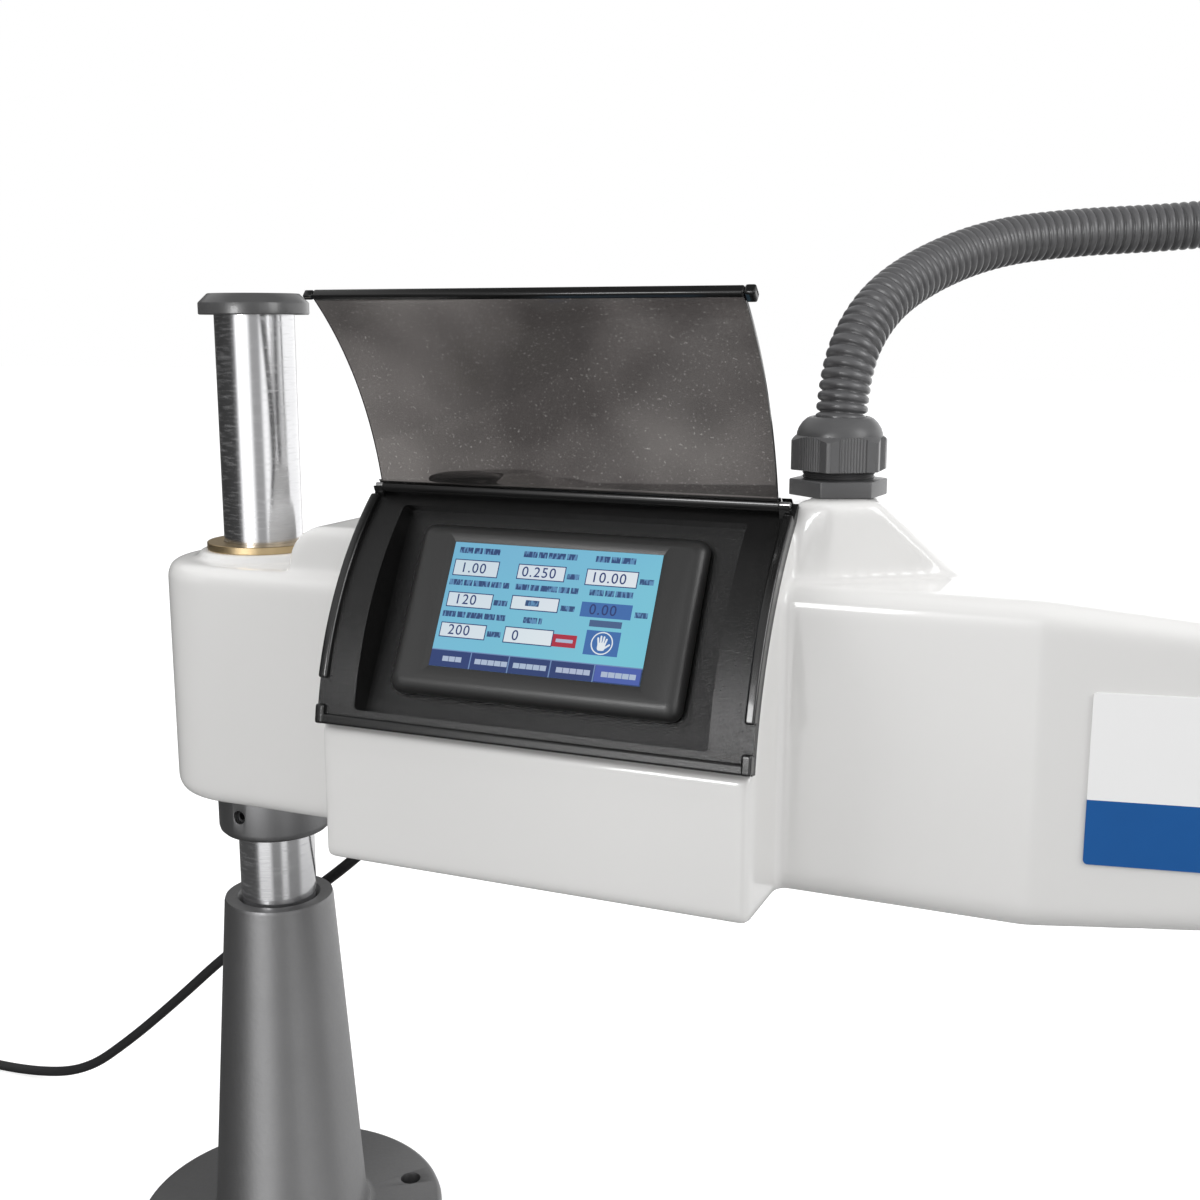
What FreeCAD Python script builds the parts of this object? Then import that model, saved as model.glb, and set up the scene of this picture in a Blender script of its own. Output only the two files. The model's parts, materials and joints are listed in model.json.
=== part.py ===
"""Arm tapping machine: a bench pillar with a cast swinging arm that houses the control,
an elbow with a spring-balanced parallelogram arm, and a tilting servo tapping head.

Millimetres. Z is up, the pillar axis is the Z axis and its foot stands on z = 0.
The first arm runs along +X, the operator's panel faces -Y.
"""
import FreeCAD
import Part
import math
import os

os.makedirs("parts", exist_ok=True)
V = FreeCAD.Vector
X_AXIS = V(1, 0, 0)
Y_AXIS = V(0, 1, 0)
Z_AXIS = V(0, 0, 1)
ORIGIN = V(0, 0, 0)

# ---------------------------------------------------------------- fits and gaps
fit = 0.05                     # radial clearance of a pin or shaft in its bore
seat_gap = 0.3                 # gap between faces that slide or turn on each other
cut_over = 2.0                 # how far a cutting tool runs past the face it opens

# ---------------------------------------------------------------- pillar and foot
flange_radius = 95.0
flange_thickness = 18.0
flange_round = 3.0
bolt_circle = 155.0            # pitch circle diameter of the bench bolts
bolt_hole_radius = 6.5
bolt_count = 4
foot_height = 230.0
cone_foot_radius = 47.5
cone_top_radius = 32.6
cone_lip = 2.5                 # chamfer round the mouth of the foot
socket_floor = 60.0            # the pillar stands in the foot from here up
pillar_radius = 22.5
pillar_wall = 6.0              # of the bored upper end, which takes the cap's spigot
foot_screw_height = 35.0       # below the mouth of the foot
grub_radius = 4.0
grub_socket_radius = 2.2
grub_socket_depth = 4.0
foot_screw_sunk = 1.0          # screw's end below the cone's face
cap_radius = 31.0
cap_height = 11.8
cap_chamfer = 5.2
cap_spigot = 3.0               # the cap's spigot goes into the tube's bored end

# ---------------------------------------------------------------- height collar
collar_gap = 42.7              # bare pillar between foot and collar
collar_radius = 33.5
collar_height = 29.8
collar_round = 5.0
collar_screw_drop = 14.0       # screw axis below the collar's top face
collar_screw_bearing = -93.0   # degrees from +X
collar_screw_sunk = 3.0

# ---------------------------------------------------------------- first arm, outside
arm_half_width = 55.0
shoulder_height = 137.5        # top face beside the pillar, above the arm's underside
neck_radius = 36.5
neck_height = 4.5
arm_height = 151.0             # top face of the arm beyond the control box
arm_round = 8.0
kink_x = 446.0                 # from here the arm tapers to the elbow
elbow_x = 570.0
elbow_radius = 32.0
elbow_drop = 12.8              # fall of the top face over the taper
elbow_rise = 8.6               # rise of the underside over the taper
arm_wall = 7.0
elbow_wall = 14.0              # metal between the arm's hollow and the elbow bore
spot_margin = 8.0              # turned face round the elbow boss
lump_x = 48.0                  # rounded fairing between pillar housing and control box
lump_half_width = 47.0
lump_height = 163.2
lump_round = 22.0

# ---------------------------------------------------------------- control box on the arm
box_x = 102.0
box_width = 228.6
box_front = 99.5               # distance of the box's front wall from the arm's middle plane
deck_height = 184.5            # top of the box above the arm's underside
deck_round = 20.0
box_round = 5.0
panel_radius = 177.0           # the panel's face is part of a cylinder along X
panel_centre_y = 75.0
panel_centre_height = 47.5     # above the arm's underside
panel_low = 8.0                # degrees above horizontal, seen from the cylinder's axis
panel_high = 52.0
panel_thickness = 4.8
panel_overhang = 0.6           # panel stands past the box at each end
well_inset = 21.4              # width of the side rails
well_low = 10.8
well_high = 47.4
well_wall = 2.5
well_floor_depth = 9.0         # floor of the well behind the display's front
bead_width = 5.0
bead_height = 3.0
bead_root = 1.0                # rims, beads and lugs reach this far into the plate below them
bead_low = 15.4
bead_high = 49.0
foot_bead_high = 11.2
panel_hold = 40.0              # how far the well's tub is drawn before trimming

# ---------------------------------------------------------------- display
display_offset = -1.6          # centre of the picture from the middle of the box
display_y = -69.8
display_height = 132.8         # centre of the picture above the arm's underside
display_tilt = 28.0            # degrees from upright
picture_width = 113.0
picture_height = 65.5
frame_clear = 14.5             # side of the well to the side of the frame, on average
frame_top = 11.5
frame_bottom = 15.5
frame_front = 1.5              # front of the frame, out of the picture's plane
frame_round = 5.0
frame_bevel = 3.0              # bevelled edge of the window round the picture
glass_recess = 1.5
glass_thickness = 2.5
glass_border = 4.0

# ---------------------------------------------------------------- hinged lid
lid_gap = 0.6                  # between closed lid and panel
lid_thickness = 2.6
lid_inset = 7.4                # lid side inside the panel's side
lid_low = 12.9                 # degrees: free edge of the closed lid's strip
lid_pivot_angle = 50.4
hinge_pin_radius = 1.5
hinge_barrel_radius = 3.4
hinge_lug = 5.0
lug_half_angle = 1.2           # degrees: half the width of a hinge lug
lid_end_trim = 0.4             # degrees: where the lid's sheet meets its barrel
lid_open_angle = 117.0         # from closed to the rest position
strip_width = 4.5
strip_lip = 1.5                # the strip's solid edge, beyond the sheet
ear_length = 7.4
strip_thickness = 5.5
strip_ear = 5.0

# ---------------------------------------------------------------- mains push button
button_x = 142.0
button_radius = 19.0
button_skirt = 4.8
button_dome = 4.0
button_travel = 3.0
button_hold = 3.5              # skirt that stays inside its socket
fairing_x = 150.0
fairing_y = 20.0
fairing_radius = 27.0
fairing_height = 7.0
fairing_narrows = 0.7          # its top radius, as a share of its foot radius
switch_radius = 14.0
switch_length = 34.0
button_stem_radius = 4.0

# ---------------------------------------------------------------- conduit gland boss
gland_x = 341.5
boss_height = 188.5            # top of the wedge above the arm's underside
boss_foot_x = 399.0
boss_foot_half = 42.0
boss_top_end = 366.0
boss_top_half = 30.0
gland_hex = 42.0               # width across flats
gland_base_height = 8.0
gland_neck_radius = 17.5
gland_neck_height = 4.5
gland_nut_height = 16.5
gland_dome_height = 9.0
gland_dome_radius = 19.5
gland_mouth_radius = 14.5
gland_thread_radius = 16.0
gland_thread_length = 12.0
conduit_radius = 12.5
conduit_grip = 18.0            # conduit inside the gland

# ---------------------------------------------------------------- name plate, rear cover
plate_start = 24.0             # from the kink, along the tapering wall
plate_width = 96.0
plate_height = 78.5
plate_low = 34.8               # above the arm's underside
plate_thickness = 0.8
plate_round = 2.0
cover_width = 190.0
cover_height = 120.0
cover_thickness = 3.0
cover_lip = 12.0               # cover laps its opening by this much
cover_low = 26.0
cover_round = 4.0
screw_head_radius = 5.0
screw_head_height = 3.0
screw_radius = 2.5

# ---------------------------------------------------------------- electrics inside the box
driver_size = (62.0, 90.0, 120.0)
supply_size = (64.0, 90.0, 100.0)
device_gap = 24.0

# ---------------------------------------------------------------- mains lead
lead_radius = 3.5
lead_x = 50.0
lead_y = 40.0
lead_gland_radius = 11.0
lead_gland_height = 20.0
lead_gland_step = 3.0          # body to thread, in radius
lead_gland_ring = 0.9          # hexagon across its flats and turned body, as shares of the body
lead_gland_body = 0.8
lead_gland_nut = 0.4           # share of the height that the hexagon takes
lead_gland_hold = 10.0         # thread inside the arm
lead_way_radius = 6.0          # drilled way from the gland to the box's hollow
lead_way_height = 24.0
lead_way_step = 1.0            # the cross way is this much smaller in radius
lead_landing = 34.0            # end of the lead's run, from the coil's middle
bench_gap = 0.2                # lead above the bench
coil_mean_radius = 38.5
coil_band = 10.5
coil_height = 15.0
coil_round = 0.3               # rounding, as a share of the height
coil_x = -452.0
plug_radius = 19.0
plug_length = 42.0
plug_tail = 24.0               # strain relief between the coil and the plug
plug_tail_radius = 7.5
plug_round = 4.0
plug_pin_root = 1.0
plug_pin_radius = 2.4
plug_pin_length = 19.0
plug_pin_spacing = 19.0

# ---------------------------------------------------------------- bushes of the swing
bush_wall = 5.0
bush_length = 40.0
bush_flange_radius = 32.3
bush_flange_thickness = 4.3
bush_relief = 1.0              # end of a bush short of its seat's end
pillar_above = 129.5           # bare pillar between top bush and cap

# ---------------------------------------------------------------- elbow and yoke
second_arm_bearing = 50.0      # degrees: where the second arm points at rest
elbow_pin_radius = 12.0
bearing_radius = 21.0
bearing_width = 14.0
ear_thickness = 14.0
yoke_gap = 3.0                 # between the elbow boss and the yoke's web
web_thickness = 17.0
yoke_half_width = 28.0
web_round = 6.0
yoke_gland_gap = 4.0           # gland's hexagon to the web's inner face
yoke_gland_turn = 20.0         # degrees
pin_head_radius = 16.0
pin_head_height = 4.0

# ---------------------------------------------------------------- parallelogram arm
link_pivot_x = 90.0            # from the elbow axis
link_length = 420.0
lower_pivot_height = 92.5      # above the arm's underside
pivot_spacing = 70.0
link_half_height = 14.0
link_thickness = 10.0
post_half_width = 20.0
post_nose = 18.0
post_round = 8.0
link_pin_radius = 6.0
link_pin_head = 3.0
link_pin_head_radius = 10.0

# ---------------------------------------------------------------- gas spring
spring_arm = 190.0             # pivot distance from the upper link's pivot, both ends
spring_angle = -95.0           # bearing of the lower eye, seen from that pivot
spring_tube_radius = 11.0
spring_tube_length = 175.0
spring_rod_radius = 4.0
spring_rod_length = 172.0      # from the upper eye down into the tube
spacer_root = 1.0              # overlap of pieces drawn as one
spring_neck = 20.0             # lower eye to the tube's end
spring_floor = 5.0
spring_eye_radius = 8.0
spring_eye_half = 6.0
spring_pin_radius = 4.0
spring_pin_head_radius = 6.5
spring_lug_half = 13.0
spring_lug_wall = 4.0          # metal round the lower eye's pin lugs

# ---------------------------------------------------------------- tapping head
bracket_depth = 40.0
tilt_radius = 45.0
tilt_plate = 12.0
gearbox_depth = 84.0
gearbox_half_width = 42.0
gearbox_below = 58.0           # below the tilt axis
gearbox_above = 62.0
gearbox_round = 6.0
motor_size = 80.0
motor_length = 130.0
motor_round = 5.0
encoder_size = 62.0
encoder_length = 28.0
handle_radius = 8.0
handle_reach = 108.0
handle_hold = 14.0             # of the bar inside the gearbox
handle_above = 8.0             # handle axis above the tilt axis
grip_radius = 15.0
grip_length = 84.0
grip_round = 3.0
thumb_radius = 7.0
thumb_step = 2.0               # its stem is this much thinner in radius
thumb_proud = 5.0
thumb_travel = 3.0
thumb_hold = 6.0
estop_base_radius = 16.0
estop_base_height = 10.0
estop_radius = 20.0
estop_height = 11.0
estop_round = 4.0
estop_stem_radius = 8.0
estop_travel = 3.0
estop_stem_end = 1.0           # stem stops this far above the gearbox

# ---------------------------------------------------------------- spindle and chuck
spindle_radius = 15.0
spindle_shown = 37.0
spindle_hold = 50.0
chuck_radius = 24.0
chuck_length = 65.0
chuck_bore = 9.5
chuck_bore_depth = 36.0
sleeve_wall = 4.0
sleeve_length = 22.0
sleeve_start = 28.0            # above the chuck's mouth
sleeve_chamfer = 1.0

# ---------------------------------------------------------------- heights that follow
collar_low = foot_height + collar_gap
arm_low = collar_low + collar_height + seat_gap
shoulder_z = arm_low + shoulder_height
neck_z = shoulder_z + neck_height
arm_top = arm_low + arm_height
deck_z = arm_low + deck_height
boss_z = arm_low + boss_height
elbow_top = arm_top - elbow_drop
elbow_low = arm_low + elbow_rise
pillar_top = neck_z + bush_flange_thickness + pillar_above
box_end = box_x + box_width
display_x = box_x + box_width / 2 + display_offset
panel_z = arm_low + panel_centre_height


def save(shape, node):
    """Write one node's STEP file."""
    if not shape.isValid():
        print("invalid shape:", node)
    shape.exportStep("parts/" + node + ".step")


def block(x0, x1, y0, y1, z0, z1):
    """Box between two corners."""
    return Part.makeBox(x1 - x0, y1 - y0, z1 - z0, V(x0, y0, z0))


def rod(radius, start, direction, length):
    """Solid cylinder from a start point."""
    return Part.makeCylinder(radius, length, start, direction)


def tube(outer, inner, start, direction, length):
    """Hollow cylinder from a start point."""
    return rod(outer, start, direction, length).cut(rod(inner, start, direction, length))


def upright(outer, x, y, z0, z1):
    """Vertical solid cylinder."""
    return rod(outer, V(x, y, z0), Z_AXIS, z1 - z0)


def fuse_all(shapes):
    """One solid of several overlapping ones, without seams."""
    return shapes[0].multiFuse(shapes[1:]).removeSplitter()


def prism(points, direction):
    """Extrude a closed polygon."""
    return Part.Face(Part.makePolygon(points + [points[0]])).extrude(direction)


def hexagon(flats, x, y, z0, z1, turn=0.0):
    """Vertical hexagonal prism, with its corners on a circle."""
    reach = flats / 2 / math.cos(math.radians(30))
    corners = []
    for i in range(6):
        a = math.radians(60 * i + turn)
        corners.append(V(x + reach * math.cos(a), y + reach * math.sin(a), z0))
    return prism(corners, V(0, 0, z1 - z0))


def edges_along(shape, direction, keep=None):
    """Straight edges parallel to a direction, chosen by their middle point."""
    found = []
    for e in shape.Edges:
        ends = e.Vertexes
        if len(ends) < 2:
            continue
        d = ends[1].Point.sub(ends[0].Point)
        if d.Length < 1e-6 or not isinstance(e.Curve, Part.Line):
            continue
        if d.normalize().cross(direction).Length < 1e-6:
            if keep is None or keep(e.CenterOfMass):
                found.append(e)
    return found


def panel_point(radius, degrees, x):
    """Point on the panel's cylinder: 0 degrees is level with its axis, on the operator's side."""
    a = math.radians(degrees)
    return V(x, panel_centre_y - radius * math.cos(a), panel_z + radius * math.sin(a))


def panel_shell(r0, r1, a0, a1, x0, x1):
    """Part of a cylindrical shell round the panel's axis."""
    middle = (a0 + a1) / 2
    outer = Part.Arc(panel_point(r1, a0, x0), panel_point(r1, middle, x0), panel_point(r1, a1, x0))
    inner = Part.Arc(panel_point(r0, a1, x0), panel_point(r0, middle, x0), panel_point(r0, a0, x0))
    high = Part.LineSegment(panel_point(r1, a1, x0), panel_point(r0, a1, x0))
    low = Part.LineSegment(panel_point(r0, a0, x0), panel_point(r1, a0, x0))
    wire = Part.Wire([outer.toShape(), high.toShape(), inner.toShape(), low.toShape()])
    return Part.Face(wire).extrude(V(x1 - x0, 0, 0))


def round_route(points, radius):
    """Tube along straight runs joined by tangent arcs as large as the runs allow."""
    edges = []
    last = points[0]
    for i in range(1, len(points) - 1):
        back = points[i - 1].sub(points[i])
        on = points[i + 1].sub(points[i])
        run = min(back.Length, on.Length)
        back.normalize()
        on.normalize()
        turn = math.pi - back.getAngle(on)
        trim = 0.45 * run
        arc_radius = trim / math.tan(turn / 2)
        start = points[i] + back * trim
        end = points[i] + on * trim
        inward = (back + on).normalize()
        centre = points[i] + inward * math.hypot(trim, arc_radius)
        middle = centre - inward * arc_radius
        if start.sub(last).Length > 1e-6:
            edges.append(Part.LineSegment(last, start).toShape())
        edges.append(Part.Arc(start, middle, end).toShape())
        last = end
    edges.append(Part.LineSegment(last, points[-1]).toShape())
    path = Part.Wire(edges)
    first = points[1].sub(points[0])
    ring = Part.Wire(Part.makeCircle(radius, points[0], first))
    body = path.makePipeShell([ring], True, False)
    return body


# ================================================================ foot
flange = upright(flange_radius, 0, 0, 0, flange_thickness)
flange = flange.makeFillet(flange_round, [e for e in flange.Edges if e.CenterOfMass.z > 1 and len(e.Vertexes) == 1])
cone = Part.makeCone(cone_foot_radius, cone_top_radius, foot_height - flange_thickness,
                     V(0, 0, flange_thickness), Z_AXIS)
foot = flange.fuse(cone)
foot = foot.cut(upright(pillar_radius + fit, 0, 0, socket_floor, foot_height + cut_over))
mouth = Part.makeCone(pillar_radius, pillar_radius + cone_lip + cut_over, cone_lip + cut_over,
                      V(0, 0, foot_height - cone_lip), Z_AXIS)
foot = foot.cut(mouth)
for i in range(bolt_count):
    a = math.radians(45 + 360 / bolt_count * i)
    hole = upright(bolt_hole_radius, bolt_circle / 2 * math.cos(a), bolt_circle / 2 * math.sin(a),
                   -cut_over, flange_thickness + cut_over)
    foot = foot.cut(hole)
foot_screw_z = foot_height - foot_screw_height
screw_hole = rod(grub_radius + fit, V(0, pillar_radius, foot_screw_z), Y_AXIS, 2 * cone_foot_radius)
foot = foot.cut(screw_hole)
save(foot, "base_casting")

foot_screw_length = cone_top_radius - pillar_radius - fit - foot_screw_sunk
foot_screw = rod(grub_radius, V(0, pillar_radius + fit, foot_screw_z), Y_AXIS, foot_screw_length)
foot_screw = foot_screw.cut(rod(grub_socket_radius,
                                V(0, pillar_radius + fit + foot_screw_length, foot_screw_z),
                                V(0, -1, 0), grub_socket_depth))
save(foot_screw, "base_grub_screw")

pillar = upright(pillar_radius, 0, 0, socket_floor, pillar_top)
pillar_bore = pillar_radius - pillar_wall
pillar = pillar.cut(upright(pillar_bore, 0, 0, pillar_top - 2 * cap_height, pillar_top + cut_over))
save(pillar, "column")

cap = upright(cap_radius, 0, 0, pillar_top, pillar_top + cap_height)
cap = cap.makeChamfer(cap_chamfer, [e for e in cap.Edges
                                    if e.CenterOfMass.z > pillar_top + 1 and len(e.Vertexes) == 1])
cap = cap.fuse(upright(pillar_bore - fit, 0, 0, pillar_top - cap_spigot, pillar_top + cap_spigot))
save(cap.removeSplitter(), "column_cap")

# ================================================================ height collar
collar_top = collar_low + collar_height
collar = tube(collar_radius, pillar_radius + fit, V(0, 0, collar_low), Z_AXIS, collar_height)
collar = collar.makeFillet(collar_round, [e for e in collar.Edges
                                          if e.CenterOfMass.z < collar_low + 1 and e.Length > 2 * math.pi * (collar_radius - 2 * seat_gap)])
bearing = math.radians(collar_screw_bearing)
screw_way = V(math.cos(bearing), math.sin(bearing), 0)
collar_screw_z = collar_top - collar_screw_drop
collar = collar.cut(rod(grub_radius + fit, screw_way * pillar_radius + V(0, 0, collar_screw_z),
                        screw_way, collar_radius))
save(collar, "height_collar")
collar_screw_length = collar_radius - pillar_radius - collar_screw_sunk
collar_screw = rod(grub_radius, screw_way * (pillar_radius + 2 * fit) + V(0, 0, collar_screw_z),
                   screw_way, collar_screw_length)
collar_screw = collar_screw.cut(rod(grub_socket_radius,
                                    screw_way * (pillar_radius + 2 * fit + collar_screw_length)
                                    + V(0, 0, collar_screw_z), screw_way * -1, grub_socket_depth))
save(collar_screw, "collar_grub_screw")

# ================================================================ first arm casting
housing = upright(arm_half_width, 0, 0, arm_low, shoulder_z)
housing = housing.makeFillet(arm_round, [e for e in housing.Edges if len(e.Vertexes) == 1])
neck = upright(neck_radius, 0, 0, shoulder_z - arm_round, neck_z)
stub = block(0, box_x + arm_round, -arm_half_width, arm_half_width, arm_low, shoulder_z)
stub = stub.makeFillet(arm_round, edges_along(stub, X_AXIS))
lump = block(lump_x, box_x + arm_round, -lump_half_width, lump_half_width, shoulder_z - arm_round,
             arm_low + lump_height)
lump = lump.makeFillet(lump_round, edges_along(lump, Y_AXIS, lambda c: c.z > shoulder_z and c.x < box_x))
lump = lump.makeFillet(arm_round, edges_along(lump, X_AXIS, lambda c: c.z > shoulder_z))
beam = block(box_x, kink_x, -arm_half_width, arm_half_width, arm_low, arm_top)
beam = beam.makeFillet(arm_round, edges_along(beam, X_AXIS))


def taper_section(x, half, low, high, corner):
    """Rounded rectangle across the arm, as a wire."""
    pts = [V(x, -half, low), V(x, half, low), V(x, half, high), V(x, -half, high)]
    face = prism(pts, V(1, 0, 0))
    face = face.makeFillet(corner, edges_along(face, X_AXIS))
    return [f for f in face.Faces if abs(f.CenterOfMass.x - x) < 1e-6][0].OuterWire


taper = Part.makeLoft([taper_section(kink_x, arm_half_width, arm_low, arm_top, arm_round),
                       taper_section(elbow_x, elbow_radius, elbow_low, elbow_top, arm_round)], True, True)
elbow_boss = upright(elbow_radius, elbow_x, 0, elbow_low, elbow_top)

# control box: its profile across the arm, with the curved seat of the panel
seat_radius = panel_radius - panel_thickness - seat_gap
seat_low = panel_point(seat_radius, panel_low, box_x)
seat_mid = panel_point(seat_radius, (panel_low + panel_high) / 2, box_x)
seat_high = panel_point(seat_radius, panel_high, box_x)
ledge_z = panel_point(panel_radius, panel_low, box_x).z - seat_gap
profile = [
    Part.LineSegment(V(box_x, arm_half_width, arm_low + arm_round), V(box_x, 0, arm_low + arm_round)),
    Part.LineSegment(V(box_x, 0, arm_low + arm_round), seat_low),
    Part.Arc(seat_low, seat_mid, seat_high),
    Part.LineSegment(seat_high, V(box_x, seat_high.y, deck_z)),
    Part.LineSegment(V(box_x, seat_high.y, deck_z), V(box_x, arm_half_width, deck_z)),
    Part.LineSegment(V(box_x, arm_half_width, deck_z), V(box_x, arm_half_width, arm_low + arm_round)),
]
control = Part.Face(Part.Wire([s.toShape() for s in profile])).extrude(V(box_width, 0, 0))
control = control.makeFillet(deck_round, edges_along(control, X_AXIS,
                                                     lambda c: c.z > deck_z - 1 and c.y > 0))
front = block(box_x, box_end, -box_front, 0, arm_low, ledge_z - cut_over)
front = front.makeFillet(box_round, edges_along(front, Z_AXIS, lambda c: c.y < -box_front + 1)
                         + [e for e in front.Edges if e.CenterOfMass.z < arm_low + 1 and e.CenterOfMass.y < -1])

# wedge that carries the conduit gland
wedge_x = box_end - cut_over
wedge_z = arm_top - arm_round
wedge_low = [V(wedge_x, -boss_foot_half, wedge_z), V(boss_foot_x, -boss_foot_half, wedge_z),
             V(boss_foot_x, boss_foot_half, wedge_z), V(wedge_x, boss_foot_half, wedge_z)]
wedge_high = [V(wedge_x, -boss_top_half, boss_z), V(boss_top_end, -boss_top_half, boss_z),
              V(boss_top_end, boss_top_half, boss_z), V(wedge_x, boss_top_half, boss_z)]
wedge = Part.makeLoft([Part.makePolygon(wedge_low + wedge_low[:1]),
                       Part.makePolygon(wedge_high + wedge_high[:1])], True, True)
fairing = Part.makeCone(fairing_radius, fairing_radius * fairing_narrows, fairing_height + arm_wall,
                        V(fairing_x, fairing_y, deck_z - arm_wall), Z_AXIS)

casting = fuse_all([housing, neck, stub, lump, beam, taper, elbow_boss, front, control, wedge, fairing])

# hollows
box_hollow_y = box_front - arm_wall
inner_half = arm_half_width - arm_wall
inner_seat = seat_radius - arm_wall
inner_low = panel_point(inner_seat, panel_low, box_x + arm_wall)
inner_mid = panel_point(inner_seat, (panel_low + panel_high) / 2, box_x + arm_wall)
inner_high = panel_point(inner_seat, panel_high, box_x + arm_wall)
hx = box_x + arm_wall
inner_top = deck_z - arm_wall - (deck_round - arm_wall) / 2
inner_profile = [
    Part.LineSegment(V(hx, inner_half, arm_low + arm_wall), V(hx, -box_hollow_y, arm_low + arm_wall)),
    Part.LineSegment(V(hx, -box_hollow_y, arm_low + arm_wall), inner_low),
    Part.Arc(inner_low, inner_mid, inner_high),
    Part.LineSegment(inner_high, V(hx, inner_high.y, inner_top)),
    Part.LineSegment(V(hx, inner_high.y, inner_top), V(hx, inner_half, inner_top)),
    Part.LineSegment(V(hx, inner_half, inner_top), V(hx, inner_half, arm_low + arm_wall)),
]
box_hollow = Part.Face(Part.Wire([s.toShape() for s in inner_profile])).extrude(V(box_width - 2 * arm_wall, 0, 0))
beam_hollow = block(box_end - 2 * arm_wall, kink_x, -inner_half, inner_half, arm_low + arm_wall,
                    arm_top - arm_wall)
taper_hollow_x = elbow_x - bearing_radius - elbow_wall
share = (taper_hollow_x - kink_x) / (elbow_x - kink_x)
end_half = inner_half + (elbow_radius - arm_half_width) * share
taper_a = [V(kink_x, -inner_half, arm_low + arm_wall), V(kink_x, inner_half, arm_low + arm_wall),
           V(kink_x, inner_half, arm_top - arm_wall), V(kink_x, -inner_half, arm_top - arm_wall)]
taper_b = [V(taper_hollow_x, -end_half, elbow_low + arm_wall),
           V(taper_hollow_x, end_half, elbow_low + arm_wall),
           V(taper_hollow_x, end_half, elbow_top - arm_wall),
           V(taper_hollow_x, -end_half, elbow_top - arm_wall)]
taper_hollow = Part.makeLoft([Part.makePolygon(taper_a + taper_a[:1]),
                              Part.makePolygon(taper_b + taper_b[:1])], True, True)
casting = casting.cut(box_hollow.fuse(beam_hollow).fuse(taper_hollow))
casting = casting.cut(panel_shell(seat_radius + fit, seat_radius + panel_hold, panel_low, panel_high,
                                  box_x - panel_overhang - seat_gap, box_end + panel_overhang + seat_gap))

# pillar bore with its two bush seats
bush_outer = pillar_radius + bush_wall
casting = casting.cut(upright(bush_outer + cut_over, 0, 0, arm_low + bush_length, neck_z - bush_length))
casting = casting.cut(upright(bush_outer, 0, 0, arm_low - cut_over, neck_z + cut_over))

# spot faces and bore of the elbow, with its two bearing seats
spot_radius = elbow_radius + spot_margin
casting = casting.cut(upright(spot_radius, elbow_x, 0, elbow_top, elbow_top + 2 * elbow_drop))
casting = casting.cut(upright(spot_radius, elbow_x, 0, elbow_low - 2 * elbow_rise, elbow_low))
casting = casting.cut(upright(elbow_pin_radius + cut_over, elbow_x, 0, elbow_low - cut_over,
                              elbow_top + cut_over))
casting = casting.cut(upright(bearing_radius, elbow_x, 0, elbow_low - cut_over, elbow_low + bearing_width))
casting = casting.cut(upright(bearing_radius, elbow_x, 0, elbow_top - bearing_width, elbow_top + cut_over))

# the display's own axes: across is X, up the slope, and out of its face
tilt = math.radians(display_tilt)
display_at = V(display_x, display_y, arm_low + display_height)
up_slope = V(0, math.sin(tilt), math.cos(tilt))
out_face = V(0, -math.cos(tilt), math.sin(tilt))


def display_block(u0, u1, v0, v1, w0, w1):
    """Box in the display's own axes: u across, v up the slope, w out of its face."""
    p = display_at + up_slope * v0 + out_face * w0
    pts = [p + V(u0, 0, 0), p + V(u1, 0, 0), p + V(u1, 0, 0) + up_slope * (v1 - v0),
           p + V(u0, 0, 0) + up_slope * (v1 - v0)]
    return prism(pts, out_face * (w1 - w0))


frame_v0 = -picture_height / 2 - frame_bottom
frame_v1 = picture_height / 2 + frame_top
well_u0 = box_x - panel_overhang + well_inset - display_x
well_u1 = box_end + panel_overhang - well_inset - display_x
frame_u = (well_u1 - well_u0) / 2 - frame_clear
low_rim = panel_point(panel_radius, well_low, display_x) - display_at
high_rim = panel_point(panel_radius, well_high, display_x) - display_at
well_v0 = low_rim.dot(up_slope)
well_v1 = high_rim.dot(up_slope)
tub = display_block(well_u0 - well_wall, well_u1 + well_wall, well_v0 - well_wall, well_v1 + well_wall,
                    -well_floor_depth - well_wall, panel_hold)
casting = casting.cut(display_block(well_u0 - well_wall - seat_gap, well_u1 + well_wall + seat_gap,
                                    well_v0 - well_wall - seat_gap, well_v1 + well_wall + seat_gap,
                                    -4 * well_floor_depth, panel_hold))

# holes for gland, lead, button and rear cover
casting = casting.cut(upright(gland_thread_radius + fit, gland_x, 0, arm_top - 2 * arm_wall,
                              boss_z + cut_over))
lead_gland_thread = lead_gland_radius - lead_gland_step
thread_top = arm_low + lead_gland_hold
casting = casting.cut(upright(lead_gland_thread + fit, lead_x, lead_y, arm_low - cut_over,
                              thread_top + seat_gap))
casting = casting.cut(upright(lead_way_radius, lead_x, lead_y, arm_low,
                              arm_low + lead_way_height + lead_way_radius))
casting = casting.cut(rod(lead_way_radius - lead_way_step, V(lead_x, lead_y, arm_low + lead_way_height),
                          X_AXIS,
                          box_x + arm_wall + cut_over - lead_x))
button_socket = button_hold + button_travel + seat_gap
casting = casting.cut(upright(button_radius + seat_gap, button_x, 0, deck_z - button_socket,
                              deck_z + 2 * fairing_height))
casting = casting.cut(upright(switch_radius + fit, button_x, 0, deck_z - 4 * arm_wall, deck_z))
cover_x = box_x + (box_width - cover_width) / 2
cover_z = arm_low + cover_low
casting = casting.cut(block(cover_x + cover_lip, cover_x + cover_width - cover_lip, inner_half - cut_over,
                            arm_half_width + cut_over,
                            cover_z + cover_lip, cover_z + cover_height - cover_lip))
screw_spots = []
for i in range(3):
    for j in range(2):
        screw_spots.append(V(cover_x + cover_lip / 2 + i * (cover_width - cover_lip) / 2, arm_half_width,
                             cover_z + cover_lip / 2 + j * (cover_height - cover_lip)))
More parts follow.
